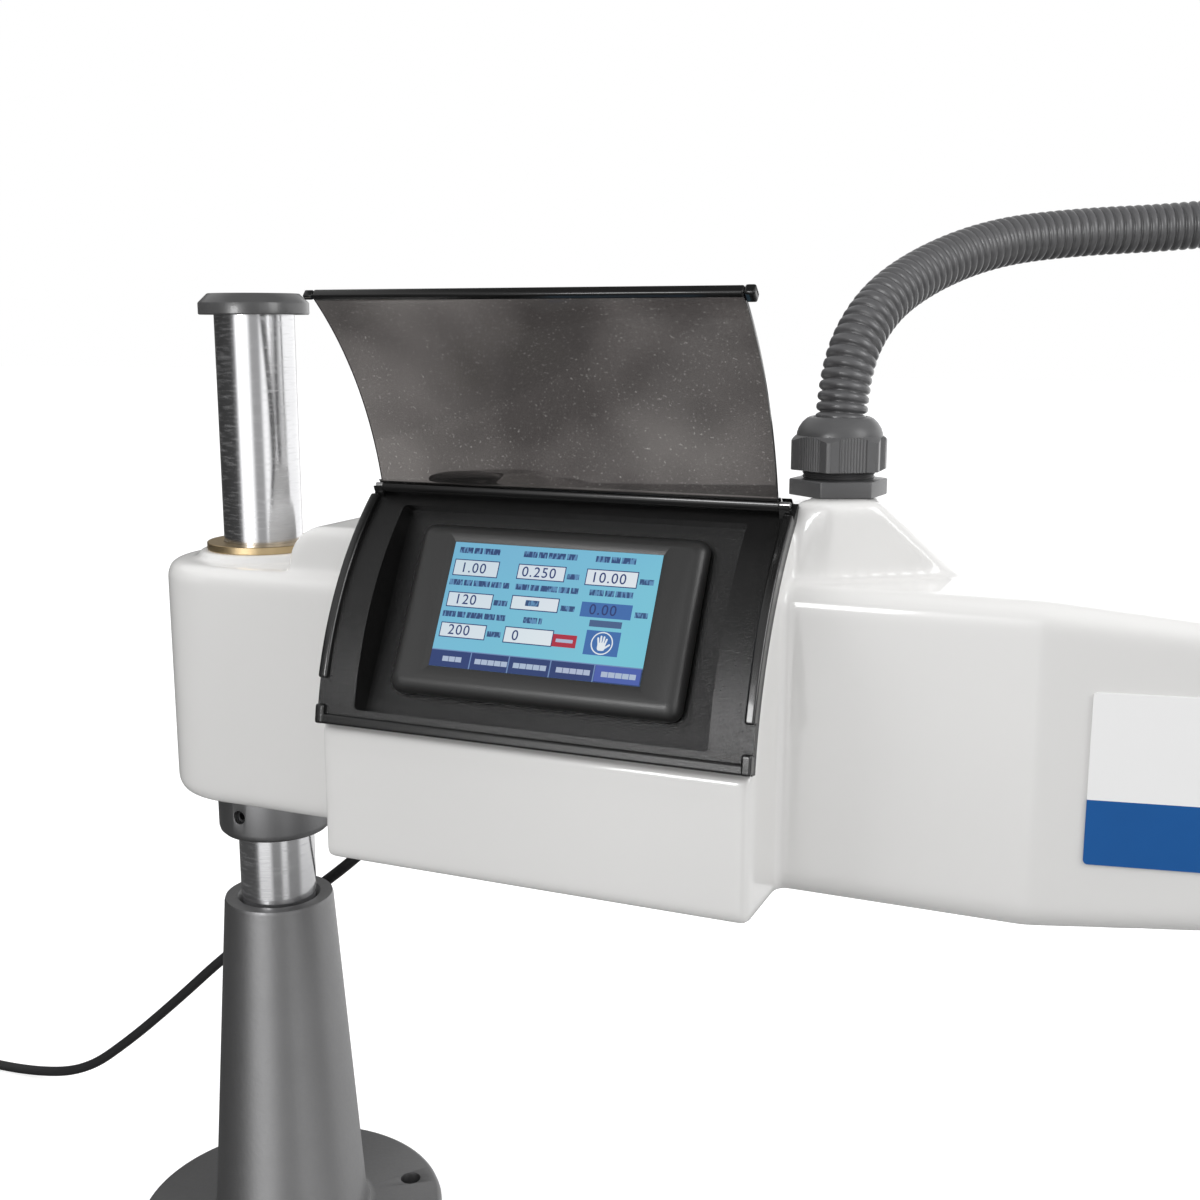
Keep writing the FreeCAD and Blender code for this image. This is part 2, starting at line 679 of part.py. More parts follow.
for spot in screw_spots:
    casting = casting.cut(rod(screw_radius + fit, spot - Y_AXIS * arm_wall * 0.8, Y_AXIS, arm_wall))
casting = casting.removeSplitter()
save(casting, "main_arm_casting")

# ================================================================ bushes on the pillar
bush = tube(bush_outer - fit, pillar_radius + fit, V(0, 0, neck_z - bush_length + bush_relief), Z_AXIS,
            bush_length - bush_relief)
bush = bush.fuse(tube(bush_flange_radius, pillar_radius + fit, V(0, 0, neck_z), Z_AXIS,
                      bush_flange_thickness))
save(bush.removeSplitter(), "upper_bush")
save(tube(bush_outer - fit, pillar_radius + fit, V(0, 0, arm_low), Z_AXIS, bush_length - bush_relief),
     "lower_bush")

# ================================================================ control panel
shell_r0 = panel_radius - panel_thickness
panel_x0 = box_x - panel_overhang
panel_x1 = box_end + panel_overhang
panel = panel_shell(shell_r0, panel_radius, panel_low, panel_high, panel_x0, panel_x1)
inside = panel_shell(shell_r0 / 2, panel_radius, panel_low, panel_high + 8, panel_x0, panel_x1)
panel = panel.fuse(tub.common(inside))
panel = panel.cut(display_block(well_u0, well_u1, well_v0, well_v1, -well_floor_depth, panel_hold))
beads = []
for x0 in (panel_x0, panel_x1 - bead_width):
    beads.append(panel_shell(panel_radius - bead_root, panel_radius + bead_height, bead_low, bead_high,
                             x0, x0 + bead_width))
    beads.append(panel_shell(panel_radius - bead_root, panel_radius + bead_height, panel_low,
                             foot_bead_high, x0, x0 + bead_width))
pivot_radius = panel_radius + lid_gap + hinge_barrel_radius
pivot = panel_point(pivot_radius, lid_pivot_angle, 0)
lid_x0 = panel_x0 + lid_inset
lid_x1 = panel_x1 - lid_inset
lug_reach = pivot_radius + hinge_barrel_radius
lugs = []
for x0 in (lid_x0 - seat_gap - hinge_lug, lid_x1 + seat_gap):
    lug = panel_shell(panel_radius - bead_root, pivot_radius, lid_pivot_angle - lug_half_angle,
                      lid_pivot_angle + lug_half_angle, x0, x0 + hinge_lug)
    lugs.append(lug.fuse(rod(hinge_barrel_radius, V(x0, pivot.y, pivot.z), X_AXIS, hinge_lug)))
panel = fuse_all([panel] + beads + lugs)
pin_x0 = lid_x0 - seat_gap - hinge_lug
pin_x1 = lid_x1 + seat_gap + hinge_lug
panel = panel.cut(rod(hinge_pin_radius + fit, V(pin_x0 - cut_over, pivot.y, pivot.z), X_AXIS,
                      pin_x1 - pin_x0 + 2 * cut_over))
save(panel, "control_bezel")
save(rod(hinge_pin_radius, V(pin_x0, pivot.y, pivot.z), X_AXIS, pin_x1 - pin_x0), "lid_hinge_pin")

# ================================================================ display
frame = display_block(-frame_u, frame_u, frame_v0, frame_v1, -well_floor_depth, frame_front)
frame = frame.makeFillet(frame_round, edges_along(frame, out_face))
glass_u = picture_width / 2 + glass_border
glass_v = picture_height / 2 + glass_border
glass_w1 = frame_front - glass_recess
window_low = [display_at + V(su * picture_width / 2, 0,
                             0) + up_slope * (sv * picture_height / 2) + out_face * glass_w1
              for su, sv in ((-1, -1), (1, -1), (1, 1), (-1, 1))]
window_high = [display_at + V(su * (picture_width / 2 + frame_bevel), 0,
                              0) + up_slope * (sv * (picture_height / 2 + frame_bevel))
               + out_face * frame_front for su, sv in ((-1, -1), (1, -1), (1, 1), (-1, 1))]
window = Part.makeLoft([Part.makePolygon(window_low + window_low[:1]),
                        Part.makePolygon(window_high + window_high[:1])], True, True)
frame = frame.cut(window)
frame = frame.cut(display_block(-glass_u, glass_u, -glass_v, glass_v, -well_floor_depth - cut_over,
                                glass_w1))
save(frame, "display_frame")
glass = display_block(-glass_u + fit, glass_u - fit, -glass_v + fit, glass_v - fit,
                      glass_w1 - glass_thickness, glass_w1)
save(glass, "touch_screen")

# ================================================================ lid, drawn closed and turned open
lid_r0 = panel_radius + lid_gap
lid_r1 = lid_r0 + lid_thickness
sheet_low = lid_low + math.degrees(strip_lip / panel_radius)
strip_high = lid_low + math.degrees(strip_width / panel_radius)
ear_high = lid_low + math.degrees(ear_length / panel_radius)
lid = panel_shell(lid_r0, lid_r1, sheet_low, lid_pivot_angle - lid_end_trim, lid_x0, lid_x1)
barrel = rod(hinge_barrel_radius, V(lid_x0, pivot.y, pivot.z), X_AXIS, lid_x1 - lid_x0)
lid = lid.fuse(barrel)
lid = lid.cut(rod(hinge_pin_radius + fit, V(lid_x0 - cut_over, pivot.y, pivot.z), X_AXIS,
                  lid_x1 - lid_x0 + 2 * cut_over))
strip = panel_shell(lid_r0, lid_r0 + strip_thickness, lid_low, strip_high, lid_x0, lid_x1)
strip = strip.cut(panel_shell(lid_r0 - cut_over, lid_r1, sheet_low, strip_high + lug_half_angle, lid_x0,
                              lid_x1))
for x0 in (lid_x0 - strip_ear, lid_x1):
    strip = strip.fuse(panel_shell(lid_r0, lid_r0 + strip_thickness, lid_low, ear_high, x0, x0 + strip_ear))
strip = strip.removeSplitter()
for leaf in (lid, strip):
    leaf.rotate(V(0, pivot.y, pivot.z), X_AXIS, -lid_open_angle)
save(lid, "lid_panel")
save(strip, "lid_strip")

# ================================================================ mains push button and its switch
button_low = deck_z - button_hold
button_top = deck_z + button_skirt
button = upright(button_radius, button_x, 0, button_low, button_top)
dome_ball = (button_radius ** 2 + button_dome ** 2) / (2 * button_dome)
dome = Part.makeSphere(dome_ball, V(button_x, 0, button_top + button_dome - dome_ball))
button = button.fuse(dome.common(upright(button_radius, button_x, 0, button_top,
                                         button_top + 2 * button_dome)))
stem_low = button_low - button_travel - 2 * seat_gap
button = button.fuse(upright(button_stem_radius, button_x, 0, stem_low, button_low)).removeSplitter()
save(button, "mains_button")
switch = upright(switch_radius, button_x, 0, stem_low - button_travel - switch_length,
                 stem_low - button_travel - seat_gap)
save(switch, "mains_switch")

# ================================================================ electrics in the box
device_y = inner_half - cover_thickness
device_z = arm_low + arm_wall
driver_x = box_x + arm_wall + device_gap
driver = block(driver_x, driver_x + driver_size[0], device_y - driver_size[1], device_y, device_z,
               device_z + driver_size[2])
save(driver, "servo_driver")
supply_x = driver_x + driver_size[0] + device_gap
supply = block(supply_x, supply_x + supply_size[0], device_y - supply_size[1], device_y, device_z,
               device_z + supply_size[2])
save(supply, "power_supply")

# ================================================================ rear cover, name plate
cover = block(cover_x, cover_x + cover_width, arm_half_width, arm_half_width + cover_thickness,
              cover_z, cover_z + cover_height)
cover = cover.makeFillet(cover_round, edges_along(cover, Y_AXIS))
cover_face = arm_half_width + cover_thickness
screws = []
for spot in screw_spots:
    cover = cover.cut(rod(screw_radius + fit, spot, Y_AXIS, cover_thickness))
    head_at = V(spot.x, cover_face, spot.z)
    head = rod(screw_head_radius, head_at, Y_AXIS, screw_head_height)
    head = head.cut(rod(screw_head_radius / 2, head_at + Y_AXIS * screw_head_height, Y_AXIS * -1,
                        screw_head_height / 2))
    screws.append(head.fuse(rod(screw_radius, head_at - Y_AXIS * (cover_thickness + arm_wall * 0.7), Y_AXIS,
                                cover_thickness + arm_wall * 0.7)))
save(cover, "rear_cover")
save(Part.makeCompound(screws), "rear_cover_screws")

taper_angle = math.degrees(math.atan2(arm_half_width - elbow_radius, elbow_x - kink_x))
plate = block(plate_start, plate_start + plate_width, -plate_thickness, 0, arm_low + plate_low,
              arm_low + plate_low + plate_height)
plate = plate.makeFillet(plate_round, edges_along(plate, Y_AXIS))
plate.rotate(ORIGIN, Z_AXIS, taper_angle)
plate.translate(V(kink_x, -arm_half_width, 0))
save(plate, "name_plate")


# ================================================================ cable gland for the conduit
def conduit_gland(x, y, z, turn):
    """Gland body with its hexagon, and the domed nut above it."""
    hex_top = z + gland_base_height
    neck_top = hex_top + gland_neck_height
    nut_top = neck_top + gland_nut_height
    body = hexagon(gland_hex, x, y, z, hex_top, turn)
    body = body.fuse(upright(gland_neck_radius, x, y, hex_top, neck_top + gland_nut_height / 2))
    body = body.fuse(upright(gland_thread_radius, x, y, z - gland_thread_length, z))
    body = body.cut(upright(conduit_radius + fit, x, y, z - gland_thread_length - cut_over, nut_top))
    nut = hexagon(gland_hex, x, y, neck_top, nut_top, turn + 8)
    nut = nut.fuse(Part.makeCone(gland_dome_radius, gland_mouth_radius, gland_dome_height,
                                 V(x, y, nut_top), Z_AXIS))
    nut = nut.cut(upright(gland_neck_radius + fit, x, y, neck_top - cut_over,
                          neck_top + gland_nut_height / 2 + fit))
    nut = nut.cut(upright(conduit_radius + fit, x, y, neck_top, nut_top + gland_dome_height + cut_over))
    return body.removeSplitter(), nut.removeSplitter(), nut_top + gland_dome_height


first_body, first_nut, first_mouth = conduit_gland(gland_x, 0, boss_z, 12)
save(first_body, "conduit_gland_body")
save(first_nut, "conduit_gland_nut")

# ================================================================ elbow: bearings, pin and yoke
bearings = []
for z in (elbow_low, elbow_top - bearing_width):
    bearings.append(tube(bearing_radius - fit, elbow_pin_radius + fit, V(elbow_x, 0, z), Z_AXIS,
                         bearing_width))
save(Part.makeCompound(bearings), "elbow_bearings")


def place(shape, node):
    """Turn a piece of the second arm, drawn along +X from the elbow, to its rest bearing."""
    shape.translate(V(elbow_x, 0, 0))
    shape.rotate(V(elbow_x, 0, 0), Z_AXIS, second_arm_bearing)
    save(shape, node)


def on_arm(x, y, z):
    """Point of the second arm's own axes in the row's frame."""
    a = math.radians(second_arm_bearing)
    return V(elbow_x + x * math.cos(a) - y * math.sin(a), x * math.sin(a) + y * math.cos(a), z)


ear_top = elbow_top + seat_gap + ear_thickness
ear_low = elbow_low - seat_gap - ear_thickness
web_x = elbow_radius + yoke_gap
web_end = web_x + web_thickness
lower_z = arm_low + lower_pivot_height
upper_z = lower_z + pivot_spacing
post_end = link_pivot_x + post_nose
post_low = lower_z - post_nose
post_top = upper_z + post_nose
spring_a = math.radians(spring_angle)
eye_x = link_pivot_x + spring_arm * math.cos(spring_a)
eye_z = upper_z + spring_arm * math.sin(spring_a)
lug_low = eye_z - spring_eye_radius - spring_lug_wall

top_ear = block(0, web_end, -yoke_half_width, yoke_half_width, ear_top - ear_thickness, ear_top)
top_ear = top_ear.fuse(upright(elbow_radius, 0, 0, ear_top - ear_thickness, ear_top))
low_ear = block(0, web_end, -yoke_half_width, yoke_half_width, ear_low, ear_low + ear_thickness)
low_ear = low_ear.fuse(upright(elbow_radius, 0, 0, ear_low, ear_low + ear_thickness))
web = block(web_x, web_end, -yoke_half_width, yoke_half_width, lug_low, post_top)
web = web.makeFillet(web_round, edges_along(web, Z_AXIS, lambda c: c.x > web_end - 1))
post = block(web_x, post_end, -post_half_width, post_half_width, post_low, post_top)
post = post.makeFillet(post_round, edges_along(post, Y_AXIS, lambda c: c.x > post_end - 1))
lug_end = eye_x + spring_eye_radius + spring_lug_wall
lug_high = eye_z + spring_eye_radius + spring_lug_wall
lug = block(web_end - spring_lug_wall, lug_end, -spring_lug_half, spring_lug_half, lug_low, lug_high)
lug = lug.cut(block(web_end, eye_x + 4 * spring_eye_radius, -spring_eye_half - seat_gap,
                    spring_eye_half + seat_gap,
                    lug_low - cut_over, eye_z + 4 * spring_eye_radius))
yoke = fuse_all([top_ear, low_ear, web, post, lug])
yoke = yoke.cut(upright(elbow_pin_radius + fit, 0, 0, ear_low - cut_over, ear_top + cut_over))
yoke = yoke.cut(rod(spring_pin_radius + fit, V(eye_x, -spring_lug_half - cut_over, eye_z), Y_AXIS,
                    2 * spring_lug_half + 2 * cut_over))
for z in (lower_z, upper_z):
    yoke = yoke.cut(rod(link_pin_radius + fit, V(link_pivot_x, -post_half_width - cut_over, z), Y_AXIS,
                        2 * post_half_width + 2 * cut_over))
yoke_gland_x = web_x + gland_hex / 2 + yoke_gland_gap
yoke = yoke.cut(upright(gland_thread_radius + fit, yoke_gland_x, 0,
                        post_top - gland_thread_length - seat_gap, post_top + cut_over))
place(yoke, "elbow_yoke")

pin = upright(elbow_pin_radius, 0, 0, ear_low - pin_head_height, ear_top)
pin = pin.fuse(upright(pin_head_radius, 0, 0, ear_top, ear_top + pin_head_height))
pin = pin.fuse(upright(pin_head_radius, 0, 0, ear_low - pin_head_height, ear_low))
place(pin.removeSplitter(), "elbow_pin")

second_body, second_nut, second_mouth = conduit_gland(yoke_gland_x, 0, post_top, yoke_gland_turn)
place(second_body, "yoke_gland_body")
place(second_nut, "yoke_gland_nut")


def cross_pin(x, z, half, radius, head_radius):
    """Pin across the second arm, with a head at each end."""
    body = rod(radius, V(x, -half, z), Y_AXIS, 2 * half)
    for side in (-1, 1):
        body = body.fuse(rod(head_radius, V(x, side * half, z), Y_AXIS * side, link_pin_head))
    return body.removeSplitter()


link_inner = post_half_width + seat_gap
link_outer = link_inner + link_thickness
pin_half = link_outer + seat_gap
inner_pins = [cross_pin(link_pivot_x, z, pin_half, link_pin_radius,
                        link_pin_head_radius) for z in (lower_z, upper_z)]
place(Part.makeCompound(inner_pins), "link_pins_inner")
place(cross_pin(eye_x, eye_z, spring_lug_half, spring_pin_radius, spring_pin_head_radius),
      "spring_pin_lower")


def link_bar(side, z, node, extra_x):
    """Flat bar of the parallelogram, with round ends and a bore at each pivot."""
    y0 = link_inner if side > 0 else -link_outer
    end_x = link_pivot_x + link_length
    bar = block(link_pivot_x, end_x, y0, y0 + link_thickness, z - link_half_height, z + link_half_height)
    for x in (link_pivot_x, end_x):
        bar = bar.fuse(rod(link_half_height, V(x, y0, z), Y_AXIS, link_thickness))
    bar = bar.removeSplitter()
    for x in (link_pivot_x, end_x):
        bar = bar.cut(rod(link_pin_radius + fit, V(x, y0 - cut_over, z), Y_AXIS,
                          link_thickness + 2 * cut_over))
    if extra_x is not None:
        bar = bar.cut(rod(spring_pin_radius + fit, V(extra_x, y0 - cut_over, z), Y_AXIS,
                          link_thickness + 2 * cut_over))
    place(bar, node)


top_eye_x = link_pivot_x + spring_arm
link_bar(-1, upper_z, "upper_link_right", top_eye_x)
link_bar(1, upper_z, "upper_link_left", top_eye_x)
link_bar(-1, lower_z, "lower_link_right", None)
link_bar(1, lower_z, "lower_link_left", None)
top_pin = rod(spring_pin_radius, V(top_eye_x, -link_outer, upper_z), Y_AXIS, 2 * link_outer)
for side in (-1, 1):
    top_pin = top_pin.fuse(rod(spring_pin_head_radius, V(top_eye_x, side * link_outer, upper_z),
                               Y_AXIS * side, link_pin_head))
    spacer = tube(spring_eye_radius, spring_pin_radius - spacer_root,
                  V(top_eye_x, side * (spring_eye_half + seat_gap), upper_z),
                  Y_AXIS * side, link_inner - spring_eye_half - 2 * seat_gap)
    top_pin = top_pin.fuse(spacer)
place(top_pin.removeSplitter(), "spring_pin_upper")

# gas spring between the two eyes
eye_low = V(eye_x, 0, eye_z)
eye_high = V(top_eye_x, 0, upper_z)
spring_way = eye_high.sub(eye_low)
spring_span = spring_way.Length
spring_way.normalize()
cylinder = rod(spring_tube_radius, eye_low + spring_way * spring_neck, spring_way,
               spring_tube_length - spring_neck)
cylinder = cylinder.cut(rod(spring_rod_radius + fit, eye_low + spring_way * (spring_neck + spring_floor),
                            spring_way,
                            spring_tube_length))
cylinder = cylinder.fuse(rod(spring_eye_radius / 2, eye_low, spring_way, spring_neck + spacer_root))
cylinder = cylinder.fuse(rod(spring_eye_radius, V(eye_x, -spring_eye_half, eye_z), Y_AXIS,
                             2 * spring_eye_half))
cylinder = cylinder.cut(rod(spring_pin_radius + fit, V(eye_x, -spring_lug_half, eye_z), Y_AXIS,
                            2 * spring_lug_half))
place(cylinder.removeSplitter(), "gas_spring_cylinder")
piston_from = spring_span - spring_rod_length
piston = rod(spring_rod_radius, eye_low + spring_way * piston_from, spring_way, spring_span - piston_from)
piston = piston.fuse(rod(spring_eye_radius, V(top_eye_x, -spring_eye_half, upper_z), Y_AXIS,
                         2 * spring_eye_half))
piston = piston.cut(rod(spring_pin_radius + fit, V(top_eye_x, -spring_lug_half, upper_z), Y_AXIS,
                        2 * spring_lug_half))
place(piston.removeSplitter(), "gas_spring_rod")

# ================================================================ head bracket
head_x = link_pivot_x + link_length
bracket_end = head_x + bracket_depth - post_nose
tilt_z = (lower_z + upper_z) / 2
bracket = block(head_x - post_nose, bracket_end, -post_half_width, post_half_width, lower_z - post_nose,
                upper_z + post_nose)
bracket = bracket.makeFillet(post_round, edges_along(bracket, Y_AXIS, lambda c: c.x < head_x))
bracket = bracket.fuse(rod(tilt_radius, V(bracket_end, 0, tilt_z), X_AXIS, tilt_plate))
for z in (lower_z, upper_z):
    bracket = bracket.cut(rod(link_pin_radius + fit, V(head_x, -post_half_width - cut_over, z), Y_AXIS,
                              2 * post_half_width + 2 * cut_over))
tilt_face = bracket_end + tilt_plate
bracket = bracket.cut(rod(link_pin_radius + fit, V(bracket_end - tilt_plate, 0, tilt_z), X_AXIS,
                          3 * tilt_plate))
place(bracket.removeSplitter(), "head_bracket")
outer_pins = [cross_pin(head_x, z, pin_half, link_pin_radius, link_pin_head_radius) for z in (lower_z,
                                                                                              upper_z)]
place(Part.makeCompound(outer_pins), "link_pins_outer")

# ================================================================ tapping head
gear_x = tilt_face + seat_gap + tilt_plate
gear_mid = gear_x + gearbox_depth / 2
gear_low = tilt_z - gearbox_below
gear_top = tilt_z + gearbox_above
gearbox = block(gear_x, gear_x + gearbox_depth, -gearbox_half_width, gearbox_half_width, gear_low, gear_top)
gearbox = gearbox.makeFillet(gearbox_round, edges_along(gearbox, Z_AXIS))
gearbox = gearbox.fuse(rod(tilt_radius, V(tilt_face + seat_gap, 0, tilt_z), X_AXIS, tilt_plate))
gearbox = gearbox.fuse(rod(link_pin_radius, V(bracket_end - tilt_plate + spacer_root, 0, tilt_z), X_AXIS,
                           3 * tilt_plate))
gearbox = gearbox.cut(upright(spindle_radius + seat_gap, gear_mid, 0, gear_low - cut_over,
                              gear_low + spindle_hold + seat_gap))
handle_z = tilt_z + handle_above
for side in (-1, 1):
    gearbox = gearbox.cut(rod(handle_radius + fit,
                              V(gear_mid, side * (gearbox_half_width - handle_hold), handle_z),
                              Y_AXIS * side, 2 * handle_hold))
place(gearbox.removeSplitter(), "gearbox_housing")

motor = block(gear_mid - motor_size / 2, gear_mid + motor_size / 2, -motor_size / 2, motor_size / 2,
              gear_top, gear_top + motor_length)
motor = motor.makeFillet(motor_round, edges_along(motor, Z_AXIS))
place(motor, "servo_motor")
encoder_low = gear_top + motor_length
encoder = block(gear_mid - encoder_size / 2, gear_mid + encoder_size / 2, -encoder_size / 2,
                encoder_size / 2,
                encoder_low, encoder_low + encoder_length)
encoder = encoder.makeFillet(motor_round, edges_along(encoder, Z_AXIS))
place(encoder, "servo_encoder")

for side, name in ((-1, "right"), (1, "left")):
    way = Y_AXIS * side
    bar_start = V(gear_mid, side * (gearbox_half_width - handle_hold + fit), handle_z)
    bar_length = handle_hold + handle_reach
    bar = rod(handle_radius, bar_start, way, bar_length)
    tip = bar_start + way * bar_length
    bar = bar.cut(rod(thumb_radius - thumb_step + seat_gap, tip + way * cut_over, way * -1,
                      thumb_hold + thumb_travel + cut_over))
    place(bar, "handle_bar_" + name)
    grip = tube(grip_radius, handle_radius + fit, tip - way * grip_length, way, grip_length)
    grip = grip.makeFillet(grip_round, [e for e in grip.Edges if e.Length > 2 * math.pi * (grip_radius - 1)
                                 and len(e.Vertexes) == 1])
    place(grip, "grip_" + name)
    thumb = rod(thumb_radius, tip + way * (thumb_travel + seat_gap), way, thumb_proud)
    thumb = thumb.fuse(rod(thumb_radius - thumb_step, tip + way * (thumb_travel + seat_gap), way * -1,
                           thumb_hold))
    place(thumb.removeSplitter(), "start_button_" + name)

stop_x = gear_x + gearbox_depth
stop_z = tilt_z
stop_base = rod(estop_base_radius, V(stop_x, 0, stop_z), X_AXIS, estop_base_height)
stop_base = stop_base.cut(rod(estop_stem_radius + seat_gap, V(stop_x, 0, stop_z), X_AXIS,
                              estop_base_height + cut_over))
place(stop_base, "emergency_stop_base")
stop_head_x = stop_x + estop_base_height + estop_travel + seat_gap
stop_head = rod(estop_radius, V(stop_head_x, 0, stop_z), X_AXIS, estop_height)
stop_head = stop_head.makeFillet(estop_round,
                                 [e for e in stop_head.Edges if len(e.Vertexes) == 1 and e.CenterOfMass.x > stop_head_x + 1])
stop_head = stop_head.fuse(rod(estop_stem_radius, V(stop_head_x, 0, stop_z), X_AXIS * -1,
                               estop_base_height - estop_stem_end))
place(stop_head.removeSplitter(), "emergency_stop_head")

# ================================================================ spindle and quick-change chuck
spindle_low = gear_low - spindle_shown
spindle = upright(spindle_radius, gear_mid, 0, spindle_low, gear_low + spindle_hold)
place(spindle, "spindle")
mouth_z = spindle_low - chuck_length
chuck = upright(chuck_radius, gear_mid, 0, mouth_z, spindle_low)
chuck = chuck.cut(upright(chuck_bore, gear_mid, 0, mouth_z - cut_over, mouth_z + chuck_bore_depth))
place(chuck, "chuck_body")
sleeve_z = mouth_z + sleeve_start
sleeve = tube(chuck_radius + sleeve_wall, chuck_radius + fit, V(gear_mid, 0, sleeve_z), Z_AXIS,
              sleeve_length)
sleeve = sleeve.makeChamfer(sleeve_chamfer,
                            [e for e in sleeve.Edges if e.Length > 2 * math.pi * (chuck_radius + sleeve_wall - 0.5)
                                  and len(e.Vertexes) == 1])
place(sleeve, "chuck_sleeve")

# ================================================================ conduit between the two glands
conduit_end = on_arm(yoke_gland_x, 0, 0)
conduit_route = [
    V(gland_x, 0, first_mouth - conduit_grip),
    V(gland_x, 0, 548),
    V(350, 22, 580),
    V(367, 59, 600),
    V(395, 98, 615),
    V(432, 128, 621),
    V(482, 156, 624),
    V(544, 172, 630),
    V(592, 160, 625),
    V(conduit_end.x, 120, 604),
    V(conduit_end.x, 70, 572),
    V(conduit_end.x, conduit_end.y, 545),
    V(conduit_end.x, conduit_end.y, second_mouth - conduit_grip),
]
save(round_route(conduit_route, conduit_radius), "conduit")

# ================================================================ mains lead, gland, coil and plug
gland_ring = hexagon(2 * lead_gland_radius * lead_gland_ring, lead_x, lead_y,
                     arm_low - lead_gland_height * lead_gland_nut, arm_low)
gland_ring = gland_ring.fuse(upright(lead_gland_radius * lead_gland_body, lead_x, lead_y,
                                     arm_low - lead_gland_height, arm_low))
gland_ring = gland_ring.fuse(upright(lead_gland_thread, lead_x, lead_y, arm_low, thread_top))
gland_ring = gland_ring.cut(upright(lead_radius + fit, lead_x, lead_y,
                                    arm_low - lead_gland_height - cut_over,
                                    thread_top + cut_over))
save(gland_ring.removeSplitter(), "lead_gland")

bench = lead_radius + bench_gap
lead_route = [
    V(lead_x, lead_y, arm_low - 2),
    V(lead_x, lead_y, 262),
    V(20, 43, 234),
    V(-32, 52, 194),
    V(-91, 60, 147),
    V(-140, 66, 102),
    V(-192, 73, 57),
    V(-242, 79, 19),
    V(-298, 81, bench),
    V(-360, 74, bench),
    V(coil_x + lead_landing, 70, bench),
]
lead = round_route(lead_route, lead_radius)
save(lead, "lead_tube")
coil_y = lead_route[-1].y - coil_mean_radius
coil = tube(coil_mean_radius + coil_band, coil_mean_radius - coil_band, V(coil_x, coil_y, 0), Z_AXIS,
            coil_height)
coil = coil.makeFillet(coil_height * coil_round, [e for e in coil.Edges if len(e.Vertexes) == 1])
save(coil, "lead_coil")
plug_y = coil_y - coil_mean_radius
plug_x = coil_x + coil_mean_radius + coil_band
plug_axis = V(plug_x + plug_tail, plug_y, plug_radius)
plug = rod(plug_radius, plug_axis, X_AXIS, plug_length)
plug = plug.makeFillet(plug_round, [e for e in plug.Edges if len(e.Vertexes) == 1])
coil_outer = coil_mean_radius + coil_band
tail_start = V(coil_x + coil_outer / 2, plug_y, coil_height / 2)
tail_way = plug_axis + V(cut_over, 0, 0) - tail_start
tail = Part.makeCone(lead_radius, plug_tail_radius, tail_way.Length, tail_start, tail_way)
tail = tail.cut(upright(coil_outer, coil_x, coil_y, 0, 3 * plug_radius))
plug = plug.fuse(tail)
for side in (-1, 1):
    plug = plug.fuse(rod(plug_pin_radius, plug_axis + V(plug_length - plug_pin_root,
                                                        side * plug_pin_spacing / 2, 0),
                         X_AXIS, plug_pin_length + plug_pin_root))
save(plug.removeSplitter(), "plug")
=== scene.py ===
import json
import math
import bpy
from mathutils import Matrix, Vector

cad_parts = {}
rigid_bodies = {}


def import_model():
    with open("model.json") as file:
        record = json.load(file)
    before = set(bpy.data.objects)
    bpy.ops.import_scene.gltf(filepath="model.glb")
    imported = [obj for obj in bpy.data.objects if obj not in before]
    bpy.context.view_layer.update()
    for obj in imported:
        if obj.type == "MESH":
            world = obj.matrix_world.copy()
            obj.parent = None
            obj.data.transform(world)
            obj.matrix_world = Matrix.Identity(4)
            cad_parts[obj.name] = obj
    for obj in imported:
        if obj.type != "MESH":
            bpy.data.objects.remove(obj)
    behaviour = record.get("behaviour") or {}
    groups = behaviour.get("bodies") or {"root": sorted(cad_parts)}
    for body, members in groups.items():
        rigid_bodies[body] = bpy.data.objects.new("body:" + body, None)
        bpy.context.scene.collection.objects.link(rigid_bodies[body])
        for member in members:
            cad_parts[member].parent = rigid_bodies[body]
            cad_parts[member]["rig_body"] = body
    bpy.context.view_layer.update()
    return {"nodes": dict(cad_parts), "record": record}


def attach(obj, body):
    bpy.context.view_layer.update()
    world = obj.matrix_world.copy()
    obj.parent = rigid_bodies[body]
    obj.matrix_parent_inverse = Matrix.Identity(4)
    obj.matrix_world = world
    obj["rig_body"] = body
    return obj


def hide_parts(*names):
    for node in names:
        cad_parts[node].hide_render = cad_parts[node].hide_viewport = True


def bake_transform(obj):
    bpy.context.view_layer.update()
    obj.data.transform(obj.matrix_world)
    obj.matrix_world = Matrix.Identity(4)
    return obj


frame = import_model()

# ---------------------------------------------------------------- camera, light and floor
# A quiet studio: a pale floor that keeps the shadow, a white surround and four soft lamps.
# The camera stands in front of the arm, a little above it and to the right of the pillar.
view = bpy.context.scene
view.view_settings.view_transform = "Standard"
bpy.ops.object.select_all(action="DESELECT")
bpy.ops.object.camera_add(location=(0.5129, -0.6974, 0.573),
                          rotation=(math.radians(90 - 10.75), 0, math.radians(23.16)))
camera = bpy.context.object
camera.data.sensor_width = 36.0
camera.data.lens = 43.5
camera.data.clip_start = 0.05
camera.data.clip_end = 60.0
view.camera = camera


def shader(name):
    """New material, its node tree and its principled shader."""
    finish = bpy.data.materials.new(name)
    finish.use_nodes = True
    return finish, finish.node_tree, finish.node_tree.nodes["Principled BSDF"]


def joined(tree, kind, links=(), **values):
    """Adds a node, sets its inputs and properties by name, and links others into it."""
    node = tree.nodes.new(kind)
    for key, value in values.items():
        if hasattr(node, key):
            setattr(node, key, value)
        else:
            node.inputs[key.replace("_", " ")].default_value = value
    for socket, source in links:
        tree.links.new(source, node.inputs[socket])
    return node


